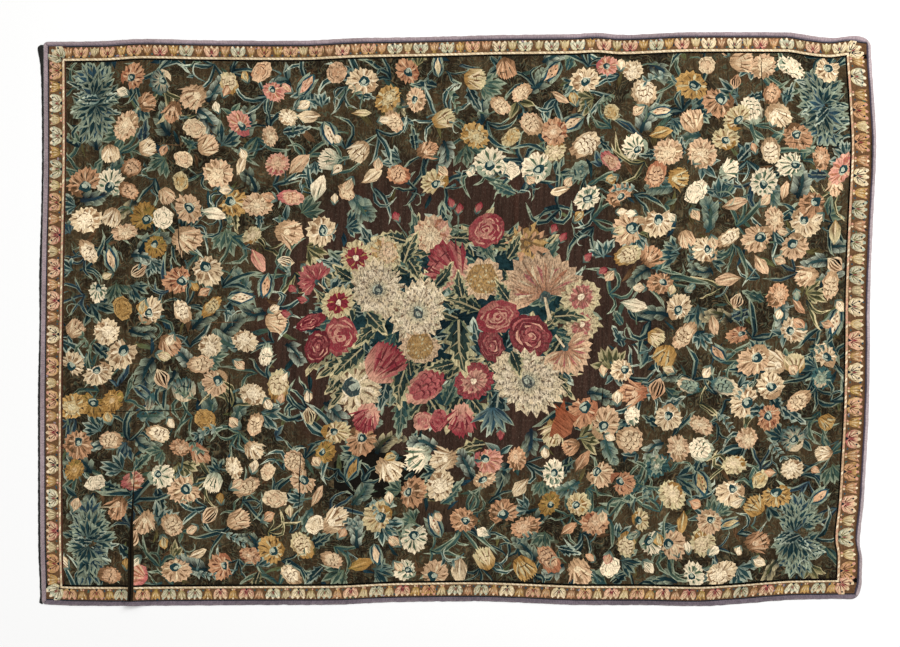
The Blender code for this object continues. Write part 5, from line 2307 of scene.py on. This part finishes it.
@dataclass(frozen=True)
class WovenWool:
    """The finish of the weaving: matt wool with a little sheen. Its colours are as seen."""

    roughness: float = 0.92
    sheen: float = 0.01
    sheen_roughness: float = 0.6
    black_lot: Tint = (0.105, 0.078, 0.046)
    brown_lot: Tint = (0.24, 0.184, 0.116)
    posy_ground: Tint = (0.2, 0.138, 0.112)
    posy_reach: Flat = (0.74, 0.58)         # half of that ground, with its soft rim
    red_band: Tint = (0.27, 0.15, 0.11)
    ground_fret: float = 0.12
    # Scale and colour of each kind of fine twig on the ground.
    twigs: tuple[tuple[float, Tint], ...] = ((9.0, (0.345, 0.285, 0.195)),
                                             (13.0, (0.26, 0.275, 0.21)))

    def start(self, name: str) -> tuple[bpy.types.Material, Graph, bpy.types.Node, Socket]:
        """A new material, its graph, its shader and the place in the flat cloth, in metres.

        Args:
            name: the material's name.
        Returns:
            The material, its graph, its shader and the place.
        """
        material, graph, shader = new_material(name, self.roughness, 0.0)
        graph.fed(shader, {"Sheen Weight": self.sheen, "Sheen Roughness": self.sheen_roughness})
        flat = graph.node("UVMap", {}, uv_map="OFBake").outputs[0]
        return material, graph, shader, graph.stretched(flat, WOVEN_WIDE, WOVEN_TALL)

    def finish(self, graph: Graph, shader: bpy.types.Node, colour: Socket, place: Socket,
               fret: Feed, wear: bpy.types.NodeTree, ribs: bpy.types.NodeTree) -> None:
        """Wear the colour, and feed it and the ribs to the shader.

        Args:
            graph: the material's graph.
            shader: the material's shader.
            colour: the wool's colour before wear.
            place: the place in the flat cloth, in metres.
            fret: how worn through the wool is.
            wear: the group that wears a colour.
            ribs: the group that gives the weave's height.
        """
        worn = graph.group(wear, Colour=colour, Place=place, Fret=fret)
        graph.dress(shader, worn, graph.group(ribs, Place=place))

    def motifs(self, wear: bpy.types.NodeTree, ribs: bpy.types.NodeTree) -> bpy.types.Material:
        """The dyed weft of every motif.

        Args:
            wear: the group that wears a colour.
            ribs: the group that gives the weave's height.
        Returns:
            The material.
        """
        material, graph, shader, place = self.start("dyed_weft")
        weft = graph.node("Attribute", {}, attribute_name="Weft")
        grain = graph.node("Attribute", {}, attribute_name="Grain")
        worn = graph.node("Attribute", {}, attribute_name="Fret")
        hatched = graph.group(hatching_group(), Colour=weft.outputs["Color"],
                              Grain=grain.outputs["Vector"], Amount=weft.outputs["Alpha"])
        self.finish(graph, shader, hatched, place, worn.outputs["Fac"], wear, ribs)
        return material

    def ground(self, wear: bpy.types.NodeTree, ribs: bpy.types.NodeTree) -> bpy.types.Material:
        """The dark ground, brown to black from dye lot to dye lot, streaked upward.

        Args:
            wear: the group that wears a colour.
            ribs: the group that gives the weave's height.
        Returns:
            The material.
        """
        material, graph, shader, place = self.start("ground_weft")
        lots = graph.noise(graph.stretched(place, 1.0, 1.6), 4.0, 3.0)
        colour = graph.mixed(graph.ramp(lots, 0.42, 0.6), linear(self.black_lot),
                             linear(self.brown_lot))
        flat = graph.node("SeparateXYZ", {0: place})
        x, y = (graph.maths("DIVIDE", graph.maths("SUBTRACT", flat.outputs[i], size / 2),
                            self.posy_reach[i]) for i, size in enumerate((WOVEN_WIDE, WOVEN_TALL)))
        out = graph.maths("SQRT", graph.maths("ADD", graph.product(x, x), graph.product(y, y)))
        middle = graph.ramp(out, 1.05, 0.8)
        # Fine twigs and blades among the flowers, hardly lighter than the ground.
        bent = graph.node("VectorMath", {0: place, 1: graph.scaled(graph.node(
            "TexNoise", {"Vector": place, "Scale": 26.0, "Detail": 1.0}).outputs[1], 0.05)},
            operation="ADD").outputs[0]
        for scale, tint in self.twigs:
            veins = graph.noise(bent, scale, 1.0, 0.4)
            line = graph.maths("ABSOLUTE", graph.maths("SINE", graph.product(veins, 60.0)))
            blades = graph.product(graph.ramp(line, 0.62, 0.24),
                                   graph.maths("SUBTRACT", 1.0, middle))
            broken = graph.ramp(graph.noise(place, 40.0, 2.0), 0.42, 0.58, 0.15, 1.0)
            colour = graph.mixed(graph.product(blades, broken), colour, linear(tint))
        colour = graph.mixed(middle, colour, linear(self.posy_ground))
        streaks = graph.noise(graph.stretched(place, 1.0, 0.05), 90.0, 3.0, 0.65)
        colour = graph.scaled(colour, graph.ramp(streaks, 0.28, 0.72, 0.6, 1.4))
        bands = graph.noise(graph.stretched(place, 1.0, 0.12), 14.0, 2.0)
        red = graph.product(graph.ramp(bands, 0.52, 0.66), middle)
        colour = graph.mixed(graph.product(red, 0.35), colour, linear(self.red_band))
        self.finish(graph, shader, colour, place, self.ground_fret, wear, ribs)
        return material


@dataclass(frozen=True)
class TapeWool:
    """The finish of a tape: its colour at the seam and at its worn outer edge."""

    inner: Tint
    outer: Tint
    worn: float
    turn_at: float = 0.5
    rubbed: Tint = (0.7, 0.64, 0.62)        # as seen, where the edge is rubbed bare
    roughness: float = 0.9
    sheen: float = 0.15
    rib_pitch: float = 0.0014
    rib_height: float = 0.00012
    lump_height: float = 0.001

    def make(self, name: str, length: float, width: float) -> bpy.types.Material:
        """Make the tape's material.

        Args:
            name: the material's name.
            length: the tape's, in metres.
            width: the tape's, in metres.
        Returns:
            The material.
        """
        material, graph, shader = new_material(name, self.roughness, 0.25)
        graph.fed(shader, {"Sheen Weight": self.sheen})
        flat = graph.node("UVMap", {}, uv_map="OFBake").outputs[0]
        place = graph.stretched(flat, length, width)
        across = graph.node("SeparateXYZ", {0: flat}).outputs[1]
        drift = graph.noise(graph.stretched(place, 1.0, 0.6), 9.0, 3.0, 0.6)
        edge = graph.maths("MULTIPLY_ADD", drift, 0.55, across)
        colour = graph.mixed(graph.ramp(edge, self.turn_at + 0.16, self.turn_at + 0.38),
                             self.inner, self.outer)
        slubs = graph.noise(graph.stretched(place, 1.0, 0.25), 320.0, 2.0, 0.6)
        colour = graph.scaled(colour, graph.ramp(slubs, 0.3, 0.7, 0.72, 1.24))
        lots = graph.noise(graph.stretched(place, 1.0, 0.1), 3.1, 2.0)
        colour = graph.scaled(colour, graph.ramp(lots, 0.35, 0.65, 0.82, 1.14))
        bare = graph.noise(place, 60.0, 3.0, 0.7)
        rim = graph.product(graph.ramp(across, 0.45, 1.0), self.worn)
        pale = graph.product(graph.ramp(bare, 0.42, 0.6), rim)
        colour = graph.mixed(pale, colour, linear(self.rubbed))
        parts = graph.node("SeparateXYZ", {0: place})
        rib = graph.maths("SINE", graph.product(parts.outputs[0], TURN / self.rib_pitch))
        lumps = graph.product(graph.noise(place, 180.0, 2.0), self.lump_height)
        height = graph.maths("MULTIPLY_ADD", rib, self.rib_height, lumps)
        graph.dress(shader, colour, height)
        return material


@dataclass(frozen=True)
class PlainFinish:
    """A plain finish with slight unevenness."""

    colour: Tint
    roughness: float
    uneven: float = 0.1

    def make(self, name: str) -> bpy.types.Material:
        """Make the material.

        Args:
            name: the material's name.
        Returns:
            The material.
        """
        material, graph, shader = new_material(name, self.roughness, 0.2)
        place = graph.node("TexCoord", {}).outputs["Object"]
        spots = graph.noise(place, 120.0, 2.0)
        light = graph.ramp(spots, 0.3, 0.7, 1.0 - self.uneven, 1.0 + self.uneven)
        graph.tree.links.new(graph.scaled(self.colour, light), shader.inputs["Base Color"])
        return material


# ---- The pieces ----


def new_piece(name: str, places: np.ndarray, faces: Sequence[Sequence[int]]) -> bpy.types.Object:
    """Make a mesh object from places and faces.

    Args:
        name: the piece's name.
        places: rows of x, y and z.
        faces: the corners of each face.
    Returns:
        The piece.
    """
    mesh = bpy.data.meshes.new(name)
    mesh.from_pydata(np.asarray(places).tolist(), [], [list(face) for face in faces])
    mesh.update()
    piece = bpy.data.objects.new(name, mesh)
    bpy.context.scene.collection.objects.link(piece)
    return piece


def slab_faces(rows: int, columns: int, flip: bool = False) -> list[tuple[int, ...]]:
    """The faces of a thin slab: its top, its underside and the wall between them.

    Args:
        rows: quads across it.
        columns: quads along it.
        flip: whether the points run the other way round.
    Returns:
        The faces, for the top's points row by row and then the underside's.
    """
    wide, start = columns + 1, (rows + 1) * (columns + 1)
    faces: list[tuple[int, ...]] = []
    for r in range(rows):
        for c in range(columns):
            a, b = r * wide + c, r * wide + c + 1
            quad = (a, a + wide, b + wide, b) if flip else (a, b, b + wide, a + wide)
            faces += [quad, tuple(start + v for v in reversed(quad))]
    ring = (list(range(columns)) + [r * wide + columns for r in range(rows)]
            + [rows * wide + c for c in range(columns, 0, -1)]
            + [r * wide for r in range(rows, 0, -1)])
    if flip:
        ring.reverse()
    for a, b in zip(ring, ring[1:] + ring[:1]):
        faces.append((start + a, start + b, b, a))
    return faces


def rim_loop(faces: np.ndarray) -> list[int]:
    """The corners round the outside of a sheet of triangles, anticlockwise.

    Args:
        faces: its triangles, all anticlockwise.
    Returns:
        The corners in order.
    """
    sides = np.concatenate([faces[:, [0, 1]], faces[:, [1, 2]], faces[:, [2, 0]]])
    known = {(a, b) for a, b in sides.tolist()}
    ahead = {a: b for a, b in known if (b, a) not in known}
    first = next(iter(ahead))
    loop = [first]
    while ahead[loop[-1]] != first:
        loop.append(ahead[loop[-1]])
    return loop


@dataclass
class WovenSheet:
    """The woven sheet: its drawing merged into one cloth and laid over the folds."""

    relief: Relief
    finish: WovenWool
    seed: int = 5
    pitch: float = 0.045        # mesh points where the cloth is flat
    scrap: float = 2.5e-5       # smallest spot of colour kept
    slack: float = 0.00145      # how far a motif's outline may be straightened
    fine: float = 190.0         # streaks to the metre across a shape's own axis
    long: float = 26.0          # and along it
    outward: float = 40.0       # and outward in a round one

    def to_world(self, flat: np.ndarray) -> np.ndarray:
        """Where points of the flat drawing lie on the surface.

        Args:
            flat: rows of x and y in the drawing.
        Returns:
            Rows of x and y, with the pattern drawn in under the pleat.
        """
        x, y = flat[:, 0], flat[:, 1]
        share = (y - PLEAT.y0) / (PLEAT.y1 - PLEAT.y0)
        take = PLEAT_TAKE * smooth_step((1.0 - share) / 0.75)
        whole = (x + WOVEN_WIDE / 2) / WOVEN_WIDE
        drawn = smooth_step((x - pleat_ridge(y)) / PLEAT_SPAN + 0.5)
        s = whole + take * (whole - drawn) / WOVEN_WIDE
        return Outline(GALLOON_SIDE, GALLOON_LONG).inside(s, y / WOVEN_TALL + 0.5)

    def mesh_points(self) -> list[Flat]:
        """An even grid, close lines along the pleat and three along each crease.

        Returns:
            Points that carry the cloth's shape, in the flat.
        """
        points: list[Flat] = []
        columns = round(WOVEN_WIDE / self.pitch)
        rows = round(WOVEN_TALL / self.pitch)
        for i in range(1, columns):
            for j in range(1, rows):
                points.append((WOVEN_WIDE * (i / columns - 0.5), WOVEN_TALL * (j / rows - 0.5)))
        for j in range(1, 36):
            y = -WOVEN_TALL / 2 + 0.96 * j / 36
            ridge = pleat_ridge(y)
            points += [(ridge + offset, y) for offset in
                       (-0.03, -0.02, -0.012, -0.006, 0.0, 0.006, 0.014, 0.024, 0.038, 0.055)]
        for crease in CREASES:
            for i in range(1, 12):
                x = crease.x0 + (crease.x1 - crease.x0) * i / 12
                y = crease.y0 + (crease.y1 - crease.y0) * i / 12
                points += [(x - crease.left, y), (x, y), (x + crease.right, y)]
        return points

    def build(self) -> bpy.types.Object:
        """Draw, merge, lay out and dress the sheet.

        Returns:
            The finished piece.
        """
        drawing = draw_weaving()
        extra = self.mesh_points()
        work = lighten(merge_shapes(drawing.shapes), extra, self.scrap, self.slack)
        turned = work.faces.copy()
        wrong = turned_areas(work.places, turned) < 0.0
        turned[wrong] = turned[wrong][:, ::-1]
        loop = rim_loop(turned)
        plain = self.back(work.places[loop], extra)
        count = len(work.places)
        flat = np.concatenate([work.places, plain.places])
        world = self.to_world(flat)
        x, y = world[:, 0], world[:, 1]
        z = np.concatenate([self.relief.over(x[:count], y[:count], WEAVE_THICK),
                            self.relief.under(x[count:], y[count:]) + 2 * CLEAR])
        back = plain.faces + count
        walls: list[list[int]] = []
        for i, here in enumerate(loop):
            ahead = (i + 1) % len(loop)
            walls += [[count + i, count + ahead, loop[ahead]], [count + i, loop[ahead], here]]
        faces = np.concatenate([turned, back, np.array(walls)])
        piece = new_piece("woven_sheet", np.stack([x, y, z], axis=1), faces.tolist())
        self.colour(piece.data, flat, faces, work.owners, drawing.shapes)
        self.smooth(piece.data, x, y, count)
        log.info("woven sheet: %d triangles", len(faces))
        return piece

    def back(self, rim: np.ndarray, extra: Sequence[Flat]) -> Patchwork:
        """The plain underside: the face's own rim and a coarse mesh within it.

        Args:
            rim: the corners round the face, in the flat.
            extra: further points to mesh through.
        Returns:
            Its triangles, which look downward.
        """
        corners = [Vector(point) for point in rim.tolist()] + [Vector(point) for point in extra]
        ring = list(range(len(rim)))
        made = delaunay_2d_cdt(corners, [], [ring], 1, 1e-9, False)
        places = np.array([(v.x, v.y) for v in made[0]])
        faces = np.array(list(made[2]), int)
        up = turned_areas(places, faces) > 0.0
        faces[up] = faces[up][:, ::-1]
        return Patchwork(places, faces, np.full(len(faces), -1))

    def colour(self, mesh: bpy.types.Mesh, flat: np.ndarray, faces: np.ndarray,
               owners: np.ndarray, shapes: Sequence[Shape]) -> None:
        """Give each corner of each triangle the colour and grain of its shape.

        Args:
            mesh: the sheet's mesh.
            flat: its points in the flat drawing.
            faces: its triangles, the face's first.
            owners: the shape that each triangle of the face belongs to.
            shapes: the shapes of the drawing.
        """
        rng = np.random.default_rng(self.seed)
        every = np.zeros(len(faces), int)
        every[:len(owners)] = owners
        start = np.array([shape.start for shape in shapes])
        axis = np.array([shape.end for shape in shapes]) - start
        length = np.maximum(np.linalg.norm(axis, axis=1), 1e-6)
        axis /= length[:, None]
        polar = np.array([shape.polar for shape in shapes])
        root = np.array([shape.root for shape in shapes])
        tip = np.array([shape.tip for shape in shapes])
        streak = np.array([shape.streak for shape in shapes])
        fret = np.array([shape.fret for shape in shapes])
        offset = rng.uniform(-50.0, 50.0, (len(shapes), 3))
        corner = faces.reshape(-1)
        owner = np.repeat(every, 3)
        away = flat[corner] - start[owner]
        along = (away * axis[owner]).sum(1)
        across = away[:, 0] * -axis[owner][:, 1] + away[:, 1] * axis[owner][:, 0]
        reach = np.linalg.norm(away, axis=1)
        heading = away / np.maximum(reach, 1e-6)[:, None]
        round_ = polar[owner]
        share = np.clip(np.where(round_, reach, along) / length[owner], 0.0, 1.0)
        tint = root[owner] + (tip - root)[owner] * share[:, None]
        turns = np.clip(length[owner] / 0.006, 1.5, 9.0)[:, None]
        grain = np.where(round_[:, None],
                         np.concatenate([heading * turns, reach[:, None] * self.outward], axis=1),
                         np.stack([across * self.fine, along * self.long, 0.0 * along], axis=1))
        grain += offset[owner]
        colour = np.concatenate([tint, streak[owner][:, None]], axis=1).astype(np.float32)
        for name, kind, where, key, values in (
                ("Weft", "FLOAT_COLOR", "CORNER", "color", colour),
                ("Grain", "FLOAT_VECTOR", "CORNER", "vector", grain.astype(np.float32)),
                ("Fret", "FLOAT", "FACE", "value", fret[every].astype(np.float32))):
            layer = mesh.attributes.new(name, kind, where)
            layer.data.foreach_set(key, values.reshape(-1))
        uv = flat[corner] / (WOVEN_WIDE, WOVEN_TALL) + 0.5
        mesh.uv_layers.new(name="OFBake").data.foreach_set("uv", uv.astype(np.float32).reshape(-1))
        wear, ribs = wear_group(), rib_group()
        mesh.materials.append(self.finish.motifs(wear, ribs))
        mesh.materials.append(self.finish.ground(wear, ribs))
        mesh.polygons.foreach_set("material_index", (every == 0).astype(np.int32))

    def smooth(self, mesh: bpy.types.Mesh, x: np.ndarray, y: np.ndarray, count: int) -> None:
        """Shade the face by the folds' own slopes.

        Args:
            mesh: the sheet's mesh.
            x: its points across.
            y: its points up.
            count: how many of them are the face's.
        """
        normals = np.zeros((len(x), 3))
        normals[:count] = self.relief.normals(x[:count], y[:count], WEAVE_THICK)
        below = self.relief.normals(x[count:], y[count:], WEAVE_THICK)
        normals[count:] = -below
        mesh.shade_smooth()
        mesh.normals_split_custom_set_from_vertices(normals.tolist())


@dataclass
class Tape:
    """One length of the galloon, from the woven edge to the outline."""

    side: Side
    relief: Relief
    finish: TapeWool
    seed: int
    pitch: float = 0.006
    rows: int = 6
    fray: float = 0.0007

    def build(self) -> bpy.types.Object:
        """Build the tape with a slightly worn edge and loose threads, and dress it.

        Returns:
            The finished piece.
        """
        rng = np.random.default_rng(self.seed)
        inner = Outline(GALLOON_SIDE - SEAM_GAP, GALLOON_LONG - SEAM_GAP).edge(self.side)
        outer = Outline(0.0, 0.0, rounded=True).edge(self.side)
        run = 2.8 if self.side.long else 1.9
        count = round(run / self.pitch)
        share = np.linspace(0.0, 1.0, count + 1)
        near, far = inner.place(share), outer.place(share)
        for line in (near, far):
            for end, beside in ((0, 1), (-1, -2)):
                step = line[beside] - line[end]
                line[end] += step / np.linalg.norm(step) * MITRE_GAP
        wave = rng.normal(0.0, 1.0, count + 1)
        wave = np.convolve(wave, np.ones(3) / 3, "same") * self.fray
        wave[[0, 1, -2, -1]] = 0.0
        middle = near[count // 2] - far[count // 2]
        width = np.linalg.norm(middle)
        flip = self.side in (Side.BOTTOM, Side.RIGHT)
        places: list[np.ndarray] = []
        flat: list[tuple[float, float]] = []
        for r in range(self.rows + 1):
            t = r / self.rows
            row = near + (far - near) * t
            if r == self.rows:
                row = row + wave[:, None] * middle / width
            places.append(row)
            flat += [(float(s), t) for s in share]
        grid = np.concatenate(places)
        x, y = grid[:, 0], grid[:, 1]
        t = np.array([v for _, v in flat])
        sag = 0.0003 * np.sin(np.tile(share, self.rows + 1) * run * 41.0 + t * 2.0)
        swell = GALLOON_THICK * (0.72 + 0.28 * np.sin(np.pi * np.clip(t, 0.08, 0.92)))
        under = self.relief.under(x, y)
        top = np.stack([x, y, under + swell + np.abs(sag)], axis=1)
        low = np.stack([x, y, under + CLEAR], axis=1)
        points, faces, flat = self.loose_threads(
            rng, np.concatenate([top, low]), slab_faces(self.rows, count, flip), flat + flat, far,
            share, middle / width)
        piece = new_piece(f"galloon_{self.side.word}_tape", points, faces)
        mesh = piece.data
        uv = np.array(flat)[np.array([v for face in faces for v in face])]
        uv = uv * (0.996, 0.99) + (0.002, 0.005)
        mesh.uv_layers.new(name="OFBake").data.foreach_set("uv", uv.astype(np.float32).reshape(-1))
        mesh.materials.append(self.finish.make("tape_" + self.side.word, run, GALLOON_SIDE))
        mesh.shade_smooth()
        log.info("tape %s: %d faces", self.side.word, len(faces))
        return piece

    def loose_threads(self, rng: np.random.Generator, points: np.ndarray,
                      faces: list[tuple[int, ...]], flat: list[tuple[float, float]],
                      far: np.ndarray, share: np.ndarray, inward: np.ndarray
                      ) -> tuple[np.ndarray, list[tuple[int, ...]], list[tuple[float, float]]]:
        """Add short ends of thread that stand out of the worn edge.

        Args:
            rng: draws their places.
            points: the tape's points.
            faces: the tape's faces.
            flat: each point's place in the flat tape, 0 to 1.
            far: the tape's outer edge.
            share: the shares of the edge's length at its points.
            inward: the direction from the outer edge to the woven one.
        Returns:
            The points, faces and flat places with the threads'.
        """
        made = [points]
        count = len(points)
        for _ in range(round(len(share) / 9)):
            i = int(rng.integers(4, len(share) - 4))
            along = far[i + 1] - far[i - 1]
            along /= np.linalg.norm(along)
            lean, reach = rng.uniform(-1.2, 1.2), rng.uniform(0.001, 0.0034)
            root = far[i] + inward * 0.0015
            tip = far[i] - inward * reach + along * lean * reach
            half = along * 0.0003
            z = float(self.relief.under(far[i:i + 1, 0], far[i:i + 1, 1])[0])
            rows = [(*(root - half), z + 0.0004), (*(root + half), z + 0.0004),
                    (*(root), z + 0.001), (*(tip), z + 0.0005)]
            made.append(np.array(rows))
            a, b, c, d = range(count, count + 4)
            faces += [(a, b, d), (b, c, d), (c, a, d), (a, c, b)]
            flat += [(float(share[i]), 0.97)] * 4
            count += 4
        return np.concatenate(made), faces, flat


@dataclass
class LeftDarkStrip:
    """A narrow dark strip of cloth on the floor past the left tape."""

    finish: PlainFinish
    pitch: float = 0.005

    def build(self) -> bpy.types.Object:
        """Build the strip with its knob and tip, and dress it.

        Returns:
            The finished piece.
        """
        table = SmoothTable(DARK_STRIP_ROWS)
        low, high = DARK_STRIP_ROWS[0][0], DARK_STRIP_ROWS[-1][0]
        outline = Outline(0.0, 0.0, rounded=True).edge(Side.LEFT).place(np.linspace(0.0, 1.0, 1200))
        y = np.linspace(low, high, round((high - low) / self.pitch) + 1)
        near = np.interp(y, outline[:, 1], outline[:, 0]) - SEAM_GAP - 0.0004
        ragged = 0.0004 * np.sin(y * 137.0) + 0.0003 * np.sin(y * 311.0 + 1.0)
        far = near - np.maximum(table(y) - 0.0004 + ragged, 0.003)
        rows = [(near + (far - near) * t, t) for t in (0.0, 0.3, 0.7, 1.0)]
        top = [np.stack([x, y, np.full_like(y, DARK_STRIP_THICK * (1.0 if 0.2 < t < 0.8 else 0.7))],
                        axis=1) for x, t in rows]
        base = [np.stack([x, y, np.full_like(y, CLEAR)], axis=1) for x, _ in rows]
        points = np.concatenate(top + base)
        faces = slab_faces(len(rows) - 1, len(y) - 1)
        piece = new_piece("left_dark_strip", points, faces)
        piece.data.materials.append(self.finish.make("dark_strip_cloth"))
        piece.data.shade_smooth()
        log.info("lining edge: %d faces", len(faces))
        return piece


@dataclass(frozen=True)
class Lamp:
    """A square soft light: where it stands, the length of its sides and its watts."""

    name: str
    place: tuple[float, float, float]
    size: float
    power: float

    def build(self) -> None:
        """Stand it in its place and aim it at the middle of the cloth."""
        data = bpy.data.lights.new(self.name, "AREA")
        data.size = self.size
        data.energy = self.power
        lamp = bpy.data.objects.new(self.name, data)
        lamp.location = self.place
        aim = Vector((0.0, 0.0, 0.0)) - Vector(self.place)
        lamp.rotation_euler = aim.to_track_quat("-Z", "Y").to_euler()
        bpy.context.scene.collection.objects.link(lamp)


@dataclass
class Studio:
    """A pale floor, soft light from the upper right and a camera that looks straight down."""

    middle: Flat = (-0.0237, -0.0152)
    view_wide: float = 3.047
    height: float = 9.0
    sensor: float = 36.0
    view_depth: float = 60.0
    floor_reach: float = 9.0
    floor_paper: PlainFinish = PlainFinish((0.93, 0.93, 0.93), 0.9, 0.0)
    lamps: tuple[Lamp, ...] = (Lamp("key", (3.6, 3.0, 3.4), 3.0, 255.0),
                               Lamp("fill", (-3.4, -1.2, 4.6), 3.5, 60.0))
    daylight: tuple[float, ...] = (1.0, 0.995, 0.985, 1.0)
    daylight_strength: float = 0.62

    def build(self) -> None:
        """Make the floor, lights, world and camera."""
        self.floor()
        for lamp in self.lamps:
            lamp.build()
        self.room()
        self.camera()
        bpy.context.scene.view_settings.view_transform = "Standard"
        log.info("studio: floor, %d soft lights and the camera", len(self.lamps))

    def floor(self) -> None:
        """Lay a square of pale paper under the cloth."""
        far = self.floor_reach
        floor = new_piece("floor", np.array([(-far, -far, 0.0), (far, -far, 0.0), (far, far, 0.0),
                                             (-far, far, 0.0)]), [(0, 1, 2, 3)])
        floor.data.materials.append(self.floor_paper.make("paper_floor"))

    def room(self) -> None:
        """Light everything evenly and a little warmly."""
        world = bpy.data.worlds.new("room")
        world.use_nodes = True
        background = world.node_tree.nodes["Background"]
        background.inputs[0].default_value = self.daylight
        background.inputs[1].default_value = self.daylight_strength
        bpy.context.scene.world = world

    def camera(self) -> None:
        """Hang the camera over the cloth's middle."""
        data = bpy.data.cameras.new("camera")
        data.sensor_width = self.sensor
        data.lens = data.sensor_width * self.height / self.view_wide
        data.clip_end = self.view_depth
        camera = bpy.data.objects.new("camera", data)
        camera.location = (*self.middle, self.height)
        bpy.context.scene.collection.objects.link(camera)
        bpy.context.scene.camera = camera


def main() -> None:
    """Build the looks of the tapestry, place them on the frame and light them."""
    logging.basicConfig(level=logging.INFO, format="%(message)s")
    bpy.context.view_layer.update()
    relief = Relief()
    sheet = WovenSheet(relief, WovenWool()).build()
    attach(sheet, "root")
    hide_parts("tapestry")
    lilac, slate = linear((0.6, 0.53, 0.545)), linear((0.42, 0.375, 0.41))
    plum, pale = linear((0.245, 0.215, 0.265)), linear((0.66, 0.6, 0.61))
    tapes = {
        Side.TOP: TapeWool(slate, lilac, 0.45, 0.35),
        Side.RIGHT: TapeWool(plum, pale, 0.55, 0.4),
        Side.BOTTOM: TapeWool(slate, slate, 0.35, 0.5),
        Side.LEFT: TapeWool(lilac, lilac, 0.6, 0.5),
    }
    for seed, (side, finish) in enumerate(tapes.items(), 40):
        tape = Tape(side, relief, finish, seed).build()
        node = "galloon_" + side.word
        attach(tape, "root")
        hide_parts(node)
    dark_strip = LeftDarkStrip(PlainFinish(linear((0.13, 0.13, 0.125)), 0.95, 0.25)).build()
    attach(dark_strip, "root")
    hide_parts("lining_edge")
    Studio().build()


if __name__ == "__main__":
    main()
